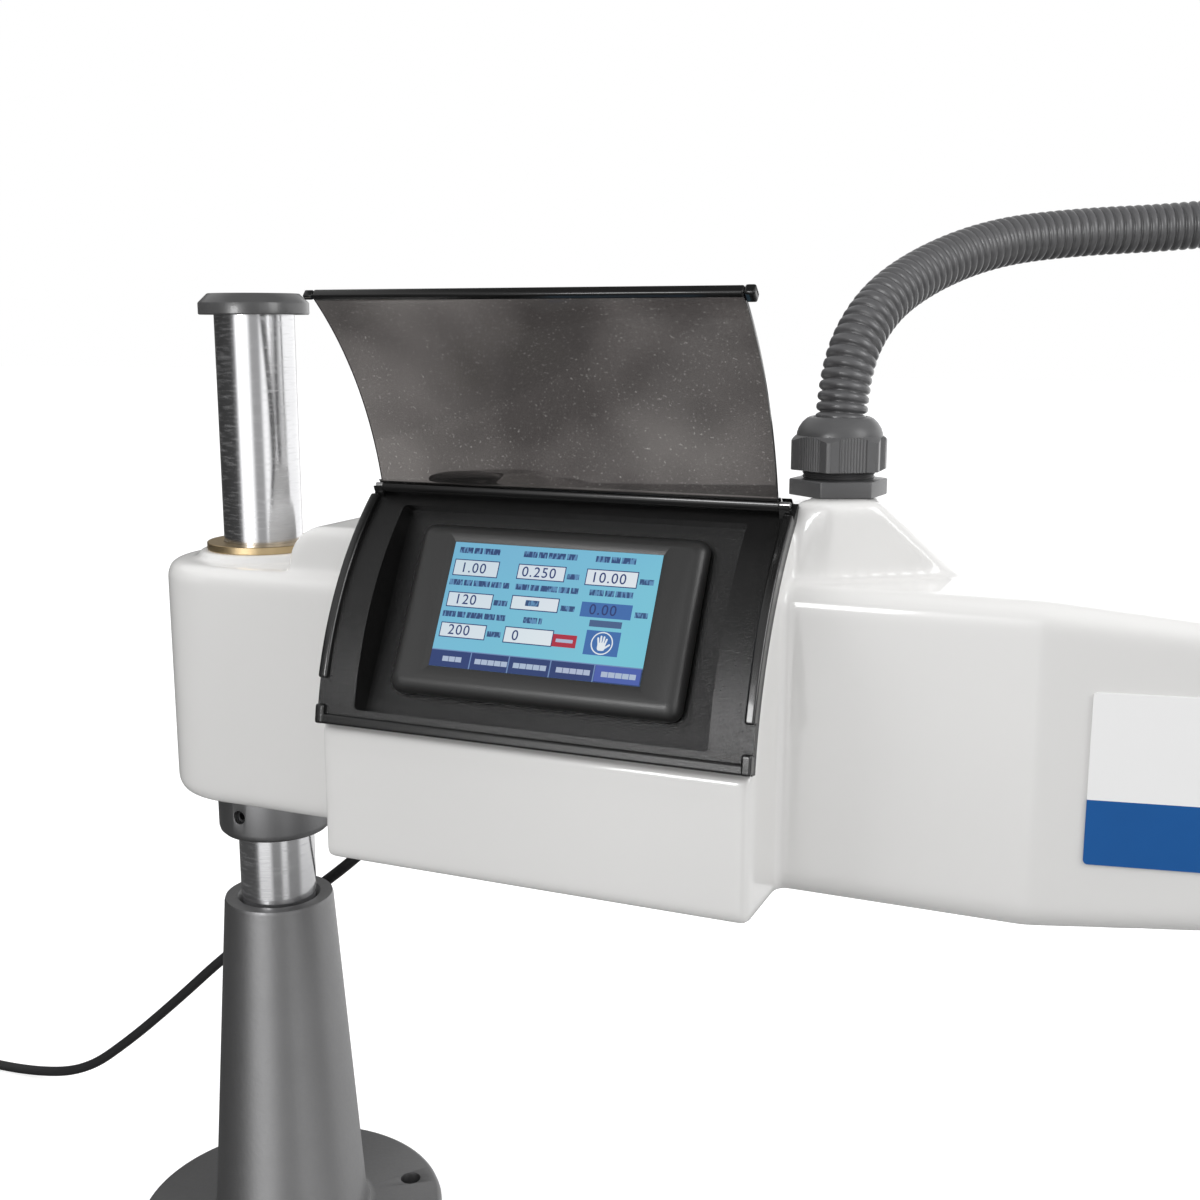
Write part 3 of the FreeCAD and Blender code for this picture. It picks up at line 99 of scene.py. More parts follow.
def spread(tree, source, low, high, out_low=0.0, out_high=1.0):
    """Maps one run of numbers onto another, held at its ends."""
    return joined(tree, "ShaderNodeMapRange", [(0, source)], From_Min=low, From_Max=high,
                  To_Min=out_low, To_Max=out_high).outputs[0]


def reckoned(tree, operation, first, second):
    """Plain maths on two values; the second is a number or another node's output."""
    node = joined(tree, "ShaderNodeMath", [(0, first)], operation=operation)
    if isinstance(second, float):
        node.inputs[1].default_value = second
    else:
        tree.links.new(second, node.inputs[1])
    return node.outputs[0]


def seen_straight(tree):
    """One for what the eye sees directly or through clear plastic, nought in a reflection."""
    rays = tree.nodes.new("ShaderNodeLightPath")
    return reckoned(tree, "MAXIMUM", rays.outputs["Is Camera Ray"], rays.outputs["Is Transmission Ray"])


world = bpy.data.worlds.new("studio")
view.world = world
world.use_nodes = True
air = world.node_tree
air.nodes.clear()
place = air.nodes.new("ShaderNodeTexCoord")
height = joined(air, "ShaderNodeSeparateXYZ", [(0, place.outputs["Generated"])])
sky = spread(air, height.outputs["Z"], -0.2, 0.9, 0.45, 0.95)
strength = joined(air, "ShaderNodeMix", [("Factor", seen_straight(air)), ("A", sky)], data_type="FLOAT",
                  B=1.0)
glow = joined(air, "ShaderNodeBackground", [("Strength", strength.outputs[0])], Color=(1, 1, 1, 1))
joined(air, "ShaderNodeOutputWorld", [("Surface", glow.outputs[0])])


def lamp(name, where, aim, size, power):
    """Soft rectangular lamp aimed at a point."""
    bpy.ops.object.light_add(type="AREA", location=where)
    light = bpy.context.object
    light.name = name
    light.data.shape = "RECTANGLE"
    light.data.size, light.data.size_y = size
    light.data.energy = power
    light.rotation_euler = (Vector(aim) - Vector(where)).to_track_quat("-Z", "Y").to_euler()
    return light


lamp("lamp_over", (0.40, -0.45, 2.2), (0.35, 0.0, 0.42), (2.2, 1.5), 16).visible_glossy = False
lamp("lamp_right", (2.4, -0.5, 1.4), (0.35, 0.0, 0.4), (0.8, 1.4), 18)
lamp("lamp_low", (-0.10, -1.51, 0.75), (0.30, -0.1, 0.39), (0.40, 0.40), 7).visible_diffuse = False
lamp("lamp_left", (-1.35, -1.05, 0.85), (0.10, 0.0, 0.38), (1.2, 1.2), 10.5).visible_glossy = False

bpy.ops.mesh.primitive_plane_add(size=30, location=(0, 0, 0))
floor = bpy.context.object
floor.name = "floor"
paving, tree, skin = shader("pale_floor")
skin.inputs["Base Color"].default_value = (0.48, 0.48, 0.48, 1)
skin.inputs["Roughness"].default_value = 0.9
floor_glow = 0.72
tree.links.new(reckoned(tree, "MULTIPLY", seen_straight(tree), floor_glow), skin.inputs["Emission Strength"])
skin.inputs["Emission Color"].default_value = (1, 1, 1, 1)
floor.data.materials.append(paving)
floor.visible_glossy = False


def greys(tree, source, stops):
    """Grey that changes along a run from 0 to 1, given as stops of (place, value)."""
    node = joined(tree, "ShaderNodeValToRGB", [(0, source)])
    for spot, (at, value) in enumerate(stops):
        stop = node.color_ramp.elements[spot] if spot < 2 else node.color_ramp.elements.new(1.0)
        stop.position = at
        stop.color = (value, value, value, 1)
    return node.outputs[0]


# A drum of cloth and paper panels stands round the studio, seen only in reflections: bright,
# grey and black upright bands, which polished steel and gloss paint show as their streaks.
bpy.ops.mesh.primitive_cylinder_add(vertices=96, radius=4.0, depth=8.0, end_fill_type="NGON",
                                    location=(0, 0, 0))
ring = bpy.context.object
ring.name = "studio_drum"
ring.visible_camera = False
ring.visible_diffuse = False
ring.visible_transmission = False
ring.visible_shadow = False
cloth, tree, skin = shader("studio_bands")
tree.nodes.remove(skin)
place = joined(tree, "ShaderNodeTexCoord")
around = joined(tree, "ShaderNodeSeparateXYZ", [(0, place.outputs["Object"])])
bearing = reckoned(tree, "ARCTAN2", around.outputs["Y"], around.outputs["X"])
panels = [(-180, 0.03), (-128, 0.04), (-117, 0.16), (-109, 1.0), (-78, 1.0), (-68, 0.26), (-46, 0.26),
          (-39, 0.85), (-28, 0.85), (-21, 0.28), (10, 0.28), (24, 0.80), (102, 0.80), (114, 0.10),
          (158, 0.03)]
bands = greys(tree, spread(tree, bearing, -math.pi, math.pi),
              [((w + 180) / 360, value) for w, value in panels])

# Below and overhead the panels give way to plain greys.
aimed = joined(tree, "ShaderNodeVectorMath", [(0, place.outputs["Object"])], operation="NORMALIZE")
rise = joined(tree, "ShaderNodeSeparateXYZ", [(0, aimed.outputs[0])])
rise_share = spread(tree, rise.outputs["Z"], -1.0, 1.0)
beyond = greys(tree, rise_share, [(0.30, 0.85), (0.41, 0.0), (0.72, 0.0), (0.76, 1.0)])
ends = greys(tree, rise_share, [(0.3, 0.05), (0.76, 0.33), (0.90, 0.33), (0.95, 0.05)])
shaded = joined(tree, "ShaderNodeMix", [("Factor", beyond), ("A", bands), ("B", ends)], data_type="FLOAT")
drum_strength = 1.9
strength = reckoned(tree, "MULTIPLY", shaded.outputs[0], drum_strength)
light = joined(tree, "ShaderNodeEmission", [("Strength", strength)], Color=(1, 1, 1, 1))
tree.links.new(light.outputs[0], tree.nodes["Material Output"].inputs["Surface"])
ring.data.materials.append(cloth)


# ---------------------------------------------------------------- mains lead
# A round black rubber lead that leaves a gland under the arm, hangs behind the foot to the
# bench and is put away there as a neat round coil that ends in a moulded two-pin plug.
def route_line(points):
    """The smooth line of a route, read back from its bare NURBS curve."""
    bare = bpy.data.curves.new("route", "CURVE")
    bare.dimensions = "3D"
    bare.resolution_u = 12
    spline = bare.splines.new("NURBS")
    spline.points.add(len(points) - 1)
    for spot, p in zip(spline.points, points):
        spot.co = (*p, 1.0)
    spline.order_u = 3
    spline.use_endpoint_u = True
    carrier = bpy.data.objects.new("route", bare)
    mesh = bpy.data.meshes.new_from_object(carrier)
    line = [v.co.copy() for v in mesh.vertices]
    bpy.data.objects.remove(carrier)
    bpy.data.meshes.remove(mesh)
    return line


def even_steps(line, step):
    """Points at even steps along a line, and the line's length."""
    walked = [0.0]
    for a, b in zip(line, line[1:]):
        walked.append(walked[-1] + (b - a).length)
    count = max(2, round(walked[-1] / step))
    spots = []
    k = 0
    for i in range(count + 1):
        s = walked[-1] * i / count
        while k < len(line) - 2 and walked[k + 1] < s:
            k += 1
        share = (s - walked[k]) / max(walked[k + 1] - walked[k], 1e-9)
        spots.append(line[k].lerp(line[k + 1], min(1.0, share)))
    return spots, walked[-1]


def hose(name, spots, radii, sides):
    """Round tube with closed ends along even points, with one radius at each."""
    verts, faces = [], []
    aim = (spots[1] - spots[0]).normalized()
    side = aim.cross(Vector((0, 0, 1)) if abs(aim.z) < 0.9 else Vector((1, 0, 0))).normalized()
    for i, spot in enumerate(spots):
        aim = (spots[min(i + 1, len(spots) - 1)] - spots[max(i - 1, 0)]).normalized()
        side = (side - aim * side.dot(aim)).normalized()
        up = aim.cross(side)
        for j in range(sides):
            a = 2 * math.pi * j / sides
            verts.append(spot + (side * math.cos(a) + up * math.sin(a)) * radii[i])
    for i in range(len(spots) - 1):
        for j in range(sides):
            k = (j + 1) % sides
            faces.append((i * sides + j, i * sides + k, (i + 1) * sides + k, (i + 1) * sides + j))
    faces.append(tuple(reversed(range(sides))))
    faces.append(tuple(range((len(spots) - 1) * sides, len(spots) * sides)))
    mesh = bpy.data.meshes.new(name)
    mesh.from_pydata(verts, [], faces)
    for polygon in mesh.polygons:
        polygon.use_smooth = len(polygon.vertices) == 4
    tube = bpy.data.objects.new(name, mesh)
    bpy.context.scene.collection.objects.link(tube)
    return tube


def noise(tree, source, scale, detail=2.0):
    """Uneven pattern over a piece's own coordinates."""
    return joined(tree, "ShaderNodeTexNoise", [("Vector", source)], Scale=scale, Detail=detail)


def mixed(tree, factor, first, second):
    """Colour between two, each of them a colour or another node's output."""
    node = joined(tree, "ShaderNodeMix", [(0, factor)], data_type="RGBA")
    for socket, colour in ((6, first), (7, second)):
        if isinstance(colour, bpy.types.NodeSocket):
            tree.links.new(colour, node.inputs[socket])
        else:
            node.inputs[socket].default_value = (*colour, 1)
    return node.outputs[2]


def surface(name, colour, roughness, metal=0.0, coat=0.0, patch=0.06, patch_size=35.0, grain=900.0,
            relief=0.15, relief_depth=0.0003, gloss_patch=0.15, speck=0.0, speck_size=600.0, shine=0.5):
    """Finish with soft patches of colour, uneven gloss, a fine grain and, if wanted, specks."""
    finish, tree, skin = shader(name)
    place = joined(tree, "ShaderNodeTexCoord").outputs["Object"]
    broad = noise(tree, place, patch_size, 4.0)
    fine = noise(tree, place, grain, 3.0)
    paint = mixed(tree, broad.outputs[0], [c * (1 - patch) for c in colour],
                  [min(1.0, c * (1 + patch)) for c in colour])
    if speck:
        dots = noise(tree, place, speck_size, 1.0)
        paint = mixed(tree, spread(tree, dots.outputs[0], 0.60, 0.72, 0.0, speck), paint, (0.4, 0.4, 0.4))
    tree.links.new(paint, skin.inputs["Base Color"])
    gloss = spread(tree, fine.outputs[0], 0.0, 1.0, roughness * (1 - gloss_patch),
                   roughness * (1 + gloss_patch))
    tree.links.new(gloss, skin.inputs["Roughness"])
    bump = joined(tree, "ShaderNodeBump", [("Height", fine.outputs[0])], Strength=relief,
                  Distance=relief_depth)
    tree.links.new(bump.outputs[0], skin.inputs["Normal"])
    skin.inputs["Metallic"].default_value = metal
    skin.inputs["Coat Weight"].default_value = coat
    skin.inputs["Coat Roughness"].default_value = 0.07
    skin.inputs["Specular IOR Level"].default_value = shine
    return finish


nodes = frame["nodes"]
lead_rubber = surface("lead_rubber", (0.013, 0.013, 0.014), 0.48, patch=0.25, grain=1500, relief=0.1)
lead_radius = 0.0035
lead_step = 0.004
bench_level = 0.0037
lead_route = [(0.05, 0.04, 0.3008), (0.05, 0.04, 0.262), (0.02, 0.043, 0.234), (-0.032, 0.052, 0.194),
              (-0.091, 0.060, 0.147), (-0.140, 0.066, 0.102), (-0.192, 0.073, 0.057), (-0.242, 0.079, 0.019),
              (-0.298, 0.083, bench_level), (-0.360, 0.079, bench_level), (-0.418, 0.077, bench_level)]
halfway = tuple((a + b) / 2 for a, b in zip(lead_route[3], lead_route[4]))

# Three turns of the coil lie on the bench, each inside the last; then the lead climbs and lies
# in the two grooves on top of them.
coil_x, coil_y = -0.452, 0.0315
coil_turns, turn_steps = 4.5, 20
outer, middle, inner, pitch = 0.0455, 0.0385, 0.0315, 0.007
for step in range(int(coil_turns * turn_steps) + 1):
    turn, share = divmod(step / turn_steps, 1.0)
    bearing = math.radians(90 + 360 * share)
    level = bench_level
    if turn == 0:
        reach = outer if share < 0.911 else middle / math.sin(bearing)
    elif turn == 1:
        reach = middle if share < 0.903 else inner / math.sin(bearing)
    elif turn == 2:
        climb = math.radians(60) * min(1.0, max(0.0, (share - 0.82) / 0.1))
        reach = middle - pitch * math.cos(climb)
        level = bench_level + pitch * math.sin(climb)
    else:
        roll = math.radians(-30 + 60 * min(1.0, max(0.0, (share - 0.83) / 0.14)) + 60 * (turn > 3))
        roll = min(roll, math.radians(30))
        reach = middle + pitch * math.sin(roll)
        level = bench_level + pitch * math.cos(roll)
    lead_route.append((coil_x + reach * math.cos(bearing), coil_y + reach * math.sin(bearing), level))

# The tail leaves the coil and rises into the plug.
lead_route += [(-0.441, -0.0102, 0.0102), (-0.431, -0.0086, 0.0104), (-0.4215, -0.0072, 0.0099),
               (-0.413, -0.007, 0.0109)]
near_spots, near_length = even_steps(route_line(lead_route[:4] + [halfway]), lead_step)
far_spots, far_length = even_steps(route_line([halfway] + lead_route[4:]), lead_step)
near_lead = hose("mains_lead_near", near_spots, [lead_radius] * len(near_spots), 16)
far_lead = hose("mains_lead_far", far_spots, [lead_radius] * len(far_spots), 16)
for run in (near_lead, far_lead):
    run.data.materials.append(lead_rubber)
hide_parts("lead_tube")
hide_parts("lead_coil")
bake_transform(near_lead)
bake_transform(far_lead)


# ---------------------------------------------------------------- first arm
# One iron casting painted gloss off-white: pillar housing, control box, beam and tapered end
# with the elbow eye. Its walls draft and its corners are rounded, as from a sand mould.
mm = 0.001
# How an outline's two ways and its depth lie in space when it is drawn out along an axis.
laid = {"Z": lambda a, b, c: Vector((a, b, c)), "X": lambda a, b, c: Vector((c, a, b)),
        "Y": lambda a, b, c: Vector((a, c, b))}


def alone(piece):
    """Selects one piece and makes it active."""
    bpy.ops.object.select_all(action="DESELECT")
    piece.select_set(True)
    bpy.context.view_layer.objects.active = piece


def in_edit(piece):
    """Opens a piece for editing with all of it selected."""
    alone(piece)
    bpy.ops.object.mode_set(mode="EDIT")
    bpy.ops.mesh.select_all(action="SELECT")


def out_of_edit():
    """Closes a shape: doubles merged, loose bits gone, faces outwards."""
    bpy.ops.mesh.select_all(action="SELECT")
    bpy.ops.mesh.remove_doubles(threshold=0.00001)
    bpy.ops.mesh.delete_loose()
    bpy.ops.mesh.select_all(action="SELECT")
    bpy.ops.mesh.normals_make_consistent(inside=False)
    bpy.ops.object.mode_set(mode="OBJECT")


def outlined(name, outline, low, high, axis="Z"):
    """Solid drawn as a flat outline and extruded along an axis, in mm."""
    bpy.ops.object.select_all(action="DESELECT")
    bpy.ops.mesh.primitive_circle_add(vertices=len(outline), radius=1, fill_type="NGON", location=(0, 0, 0))
    piece = bpy.context.object
    piece.name = name
    for corner, (a, b) in zip(piece.data.vertices, outline):
        corner.co = laid[axis](a, b, low) * mm
    in_edit(piece)
    bpy.ops.mesh.extrude_region_move(TRANSFORM_OT_translate={"value": laid[axis](0, 0, high - low) * mm})
    out_of_edit()
    return piece


def slab(name, box, low, high, axis="Z"):
    """Block over a rectangle (a0, b0, a1, b1) along an axis, in mm."""
    a0, b0, a1, b1 = box
    return outlined(name, [(a0, b0), (a1, b0), (a1, b1), (a0, b1)], low, high, axis)


def turned(name, profile, centre=(0, 0, 0), steps=96, axis="Z"):
    """Round solid: a half profile of (radius, height) spun about the z or x axis, in mm."""
    bpy.ops.object.select_all(action="DESELECT")
    bpy.ops.mesh.primitive_circle_add(vertices=len(profile), radius=1, fill_type="NOTHING",
                                      location=(0, 0, 0))
    piece = bpy.context.object
    piece.name = name
    for corner, (r, z) in zip(piece.data.vertices, profile):
        corner.co = Vector((r * mm, 0, z * mm))
    in_edit(piece)
    bpy.ops.mesh.spin(steps=steps, angle=2 * math.pi, center=(0, 0, 0), axis=(0, 0, 1))
    out_of_edit()
    turn = Matrix(((0, 0, 1), (0, 1, 0), (-1, 0, 0))) if axis == "X" else Matrix.Identity(3)
    piece.data.transform(Matrix.Translation(Vector(centre) * mm) @ turn.to_4x4())
    return piece


def rod(name, radius, low, high, centre=(0, 0, 0), steps=96, axis="Z"):
    """Plain round bar, in mm."""
    return turned(name, [(0, low), (radius, low), (radius, high), (0, high)], centre, steps, axis)


def applied(piece, kind, **settings):
    """Adds a modifier with its settings and applies it."""
    alone(piece)
    change = piece.modifiers.new(kind.lower(), kind)
    for key, value in settings.items():
        setattr(change, key, value)
    bpy.ops.object.modifier_apply(modifier=change.name)
    return piece


def eased(piece, width, segments=3, angle=30):
    """Rounds a piece's sharp edges, in mm."""
    return applied(piece, "BEVEL", width=width * mm, segments=segments, limit_method="ANGLE",
                   angle_limit=math.radians(angle), harden_normals=False)


def smooth(piece, angle=35):
    """Smooth shading that keeps true edges."""
    alone(piece)
    bpy.ops.object.shade_smooth_by_angle(angle=math.radians(angle))
    return piece


def levelled(piece):
    """Keeps the shading of large flat faces flat beside their rounded edges."""
    return applied(piece, "WEIGHTED_NORMAL", keep_sharp=True, weight=100)


def worked(piece, operation, *forms):
    """Works closed forms into a piece: DIFFERENCE cuts, UNION adds, INTERSECT keeps what is inside."""
    for form in forms:
        applied(piece, "BOOLEAN", operation=operation, object=form, solver="EXACT")
        bpy.data.objects.remove(form)
    return piece


def cut(piece, *cutters):
    """Cuts closed shapes out of a piece."""
    return worked(piece, "DIFFERENCE", *cutters)


def gathered(name, *parts):
    """Joins parts into one piece as they lie."""
    bpy.ops.object.select_all(action="DESELECT")
    for part in parts:
        part.select_set(True)
    bpy.context.view_layer.objects.active = parts[0]
    bpy.ops.object.join()
    parts[0].name = name
    return parts[0]


def cast(piece, grid, passes):
    """Melts overlapping shapes into one skin with the soft fillets of a casting."""
    applied(piece, "REMESH", mode="VOXEL", voxel_size=grid * mm, use_smooth_shade=True)
    return applied(piece, "SMOOTH", factor=0.5, iterations=passes)


def arc(centre, radius, bearings):
    """Points of a circle at the given bearings in degrees."""
    return [(centre[0] + radius * math.cos(math.radians(w)), centre[1] + radius * math.sin(math.radians(w)))
            for w in bearings]


def corner_box(a0, a1, b0, b1, radius, steps=6):
    """Outline of a rectangle with round corners."""
    spots = []
    for across, up, start in ((a1 - radius, b1 - radius, 0), (a0 + radius, b1 - radius, 90),
                              (a0 + radius, b0 + radius, 180), (a1 - radius, b0 + radius, 270)):
        spots += arc((across, up), radius, [start + 90 * i / steps for i in range(steps + 1)])
    return spots


def shown(piece, body, finish, slot, *stands_for):
    """Gives a piece its finish, its body and the frame parts that it stands for."""
    if piece.data.materials:
        piece.data.materials[0] = finish
    else:
        piece.data.materials.append(finish)
    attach(piece, body)
    if stands_for:
        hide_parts(*stands_for)
    return piece


arm_low, arm_top, shoulder, arm_half = 302.8, 453.8, 440.3, 55.0
box_x, box_end, kink_x, elbow_x = 102.0, 330.6, 446.0, 570.0
deck, boss_top = 487.3, 491.3
panel_y, panel_z, panel_radius = 75.0, 350.3, 177.0
eye_low, eye_top, eye_radius = 311.4, 441.0, 32.0
panel_foot, panel_head = 8, 52
button_x, gland_x, lead_x, lead_y = 142.0, 341.5, 50.0, 40.0


def on_panel(radius, angle):
    """Point (y, z) of the control panel's cylinder."""
    w = math.radians(angle)
    return (panel_y - radius * math.cos(w), panel_z + radius * math.sin(w))


def panel_arc(radius, first, last, steps=40):
    """Points (y, z) along that cylinder between two angles."""
    return [on_panel(radius, first + (last - first) * i / steps) for i in range(steps + 1)]


housing = turned("housing", [(0, arm_low), (arm_half - 7, arm_low), (arm_half - 2, arm_low + 2),
                             (arm_half, arm_low + 7), (arm_half, shoulder - 8),
                             (arm_half - 2.3, shoulder - 2.3), (arm_half - 8, shoulder), (0, shoulder)])
neck = turned("neck", [(0, 430), (37.5, 430), (36.5, 444.8), (0, 444.8)])
stub = outlined("stub", corner_box(-arm_half, arm_half, arm_low, shoulder, 8), 0, box_x + 8, "X")
hump = outlined("hump", [(48, 430), (box_x + 8, 430), (box_x + 8, 466), (70, 466)]
                + arc((70, 444), 22, range(100, 181, 10)), -47, 47, "Y")
eased(hump, 5, 3, 60)
beam = outlined("beam", corner_box(-arm_half, arm_half, arm_low, arm_top, 10), box_x, kink_x, "X")
taper = outlined("taper", corner_box(-arm_half, arm_half, arm_low, arm_top, 10), kink_x - 0.5, elbow_x, "X")
for v in taper.data.vertices:
    if v.co.x > (kink_x + 1) * mm:
        v.co.y *= eye_radius / arm_half
        v.co.z = (eye_low + (v.co.z / mm - arm_low) * (eye_top - eye_low) / (arm_top - arm_low)) * mm
elbow_eye = rod("elbow_eye", eye_radius, eye_low, eye_top, (elbow_x, 0, 0))
seat = panel_arc(171.9, panel_foot, panel_head)
ledge = on_panel(panel_radius, panel_foot)[1] - 0.3
back_round = 20.0
control = outlined("control", [(arm_half, arm_low + 8), (0, arm_low + 8)] + seat
                   + [(seat[-1][0], deck), (arm_half - back_round, deck)]
                   + arc((arm_half - back_round, deck - back_round), back_round, range(80, -1, -10)),
                   box_x, box_end, "X")
front = outlined("front", corner_box(box_x, box_end, -99.5, 60, 5), arm_low, ledge - 2)
for v in front.data.vertices:
    v.co.y = min(v.co.y, 0.0)
eased(front, 4, 3, 60)

# The wedge under the gland stands on foot_line and draws in to head_line on its way up.
foot_line = [(328.6, 49), (328.6, -48), (345, -36.2), (376.5, -13.6), (408, 9), (404, 50)]
head_line = [(328.6, 31), (328.6, -33), (345, -37.3), (356, -29.4), (367, -21.5), (352, 31)]
wedge_low = 445.8
wedge = outlined("wedge", foot_line, wedge_low, boss_top)
for v in wedge.data.vertices:
    if v.co.z > (wedge_low + 1) * mm:
        spot = min(range(len(foot_line)), key=lambda k: math.dist(foot_line[k], (v.co.x / mm, v.co.y / mm)))
        v.co.x, v.co.y = head_line[spot][0] * mm, head_line[spot][1] * mm
eased(wedge, 4.5, 4, 12)
fairing = turned("fairing", [(0, 480), (46, 480), (44, deck), (36, deck + 0.8), (29, deck + 2.6),
                             (24, deck + 5.4), (19, deck + 7), (0, deck + 7)], (150, 20, 0))
arm = gathered("arm_casting", housing, neck, stub, hump, beam, taper, elbow_eye, control, front, wedge,
               fairing)
cast(arm, grid=1.75, passes=12)

tilt = math.radians(28)
shown_at = Vector((214.7, -69.8, 435.6))
up_slope = Vector((0, math.sin(tilt), math.cos(tilt)))
out_face = Vector((0, -math.cos(tilt), math.sin(tilt)))
screen_turn = Matrix((Vector((1, 0, 0)), up_slope, out_face)).transposed().to_4x4()
screen_place = Matrix.Translation(shown_at * mm) @ screen_turn


def on_screen(piece):
    """Moves a shape drawn flat, x across and y up, onto the display's own slope."""
    piece.data.transform(screen_place)
    return piece


well = on_screen(slab("well", (-94.7, -62.5, 97.9, 54.3), -36, 40))
hollow = outlined("hollow", [(48, 310), (-92.5, 310)] + panel_arc(165, 12, 50)
                  + [(-30, 473.8), (40, 473.8), (48, 466)], 109, 323.6, "X")
cut(arm, well, hollow,
    slab("cover_way", (133.3, 340.8, 299.3, 436.8), 46, 60, "Y"),
    rod("pillar_way", 27.6, 290, 460),
    rod("spot_top", 41, eye_top - 0.02, 470, (elbow_x, 0, 0)),
    rod("spot_low", 41, 280, eye_low + 0.02, (elbow_x, 0, 0)),
    turned("pin_way", [(0, 300), (21, 300), (21, 325.4), (13, 325.4), (13, 427), (21, 427), (21, 450),
                       (0, 450)], (elbow_x, 0, 0)),
    turned("button_way", [(0, 440), (14.2, 440), (14.2, 480.5), (19.3, 480.5), (19.3, 510), (0, 510)],
           (button_x, 0, 0)),
    rod("gland_way", 16.1, 440, 500, (gland_x, 0, 0)),
    turned("lead_way", [(0, 295), (8.1, 295), (8.1, 313), (6, 313), (6, 333), (0, 333)], (lead_x, lead_y, 0)))
applied(arm, "DECIMATE", decimate_type="COLLAPSE", ratio=0.62)
arm_paint = surface("arm_paint", (0.70, 0.695, 0.685), 0.38, coat=0.85, patch=0.012, patch_size=9, grain=55,
                    relief=0.05, relief_depth=0.0005, gloss_patch=0.06)
shown(smooth(arm, 40), "arm", arm_paint, "arm_paint", "main_arm_casting")

# ---------------------------------------------------------------- control panel
# A pressed and moulded black panel that follows the curved front of the box, with raised
# rims down both sides and along the foot, and a deep square well for the display.
panel_black = surface("panel_black", (0.0045, 0.0045, 0.0045), 0.25, patch=0.2, patch_size=60, grain=1400,
                      relief=0.8, speck=0.03, speck_size=1800)
panel_left, panel_right = 101.4, 331.2
rim_out, rim_deep, rim_width = 180, 174, 5


def band(name, out, deep, first, last, steps, low, high):
    """Strip of the panel's cylinder, between two radii and two angles."""
    edges = panel_arc(out, first, last, steps) + panel_arc(deep, last, first, steps)
    return outlined(name, edges, low, high, "X")


plate = band("plate", panel_radius, 172.2, panel_foot, panel_head, 40, panel_left, panel_right)
tub = on_screen(slab("tub", (-94.4, -62.2, 97.6, 54.0), -11.5, 16))
core = outlined("core", [(panel_y, panel_z)] + panel_arc(176.6, 4, 58, 60), panel_left, panel_right, "X")
worked(plate, "UNION", worked(tub, "INTERSECT", core))
cut(plate, on_screen(outlined("well", corner_box(-91.9, 95.1, -59.7, 51.5, 1.5, 3), -9, 60)))
eased(plate, 0.7, 2, 50)
rims = []
for low in (panel_left, panel_right - rim_width):
    rims.append(band("rim", rim_out, rim_deep, 15.4, 49, 30, low, low + rim_width))
    rims.append(band("rim_foot", rim_out, rim_deep, panel_foot, 11.2, 6, low, low + rim_width))
rims.append(band("rim_low", rim_out - 0.4, rim_deep, panel_foot, 9.7, 4, panel_left + 2, panel_right - 2))
pivot = (-40.3737, 489.7629)
for low in (103.5, 324.1):
    rims.append(outlined("cheek", panel_arc(175, 48.6, 51.9, 6) + arc(pivot, 3.4, range(60, -181, -20)),
                         low, low + rim_width, "X"))
rim_black = surface("rim_black", (0.0045, 0.0045, 0.0045), 0.25, coat=0.6, patch=0.2, patch_size=60,
                    grain=1400, relief=0.3)
plate.data.materials.append(panel_black)
for rim in rims:
    eased(rim, 1.3, 3, 40)
    rim.data.materials.append(rim_black)
panel = gathered("control_panel", plate, *rims)
shown(levelled(smooth(panel, 40)), "arm", panel_black, "panel_black", "control_bezel")

# ---------------------------------------------------------------- display
# A matt grey moulded frame with soft rolled edges and a mitred window, round a touch screen
# of black glass. Its picture shows plain number fields, bars for words, a hand and five tabs.
frame_grey = surface("frame_grey", (0.026, 0.026, 0.026), 0.36, patch=0.08, grain=1200, relief=0.2)
half_wide, half_tall, drop, rim_face, window_low = 79.0, 46.25, 2.0, 1.5, -0.02
face_wide, face_tall = 76.3, 43.4
rim = outlined("display_rim", corner_box(-half_wide, half_wide, -half_tall - drop, half_tall - drop, 7),
               -9, rim_face)
for v in rim.data.vertices:
    if v.co.z > 0:
        v.co.x *= face_wide / half_wide
        v.co.y = (v.co.y + drop * mm) * face_tall / half_tall - drop * mm
eased(rim, 5.4, 8, 20)
window = slab("window", (-56.5, -32.75, 56.5, 32.75), window_low, 3)
for v in window.data.vertices:
    grow = (v.co.z / mm - window_low) / (rim_face - window_low) * mm
    v.co.x += math.copysign(3.4 * grow, v.co.x)
    v.co.y += math.copysign(4.4 * grow, v.co.y)
cut(rim, window, slab("glass_way", (-60.55, -36.8, 60.55, 36.8), -11, 0.0))
shown(smooth(on_screen(rim), 30), "arm", frame_grey, "frame_grey", "display_frame")

glass = slab("touch_screen_glass", (-60.45, -36.7, 60.45, 36.7), -2.5, 0)
screen_glass = surface("screen_glass", (0.008, 0.008, 0.010), 0.08, patch=0.1, relief=0.0)
shown(on_screen(glass), "arm", screen_glass, "screen_glass", "touch_screen")


ink_strength = 0.9
fade_way, fade_start, fade_end = (5.31, 0.0, -7.14), -2.474, -1.674


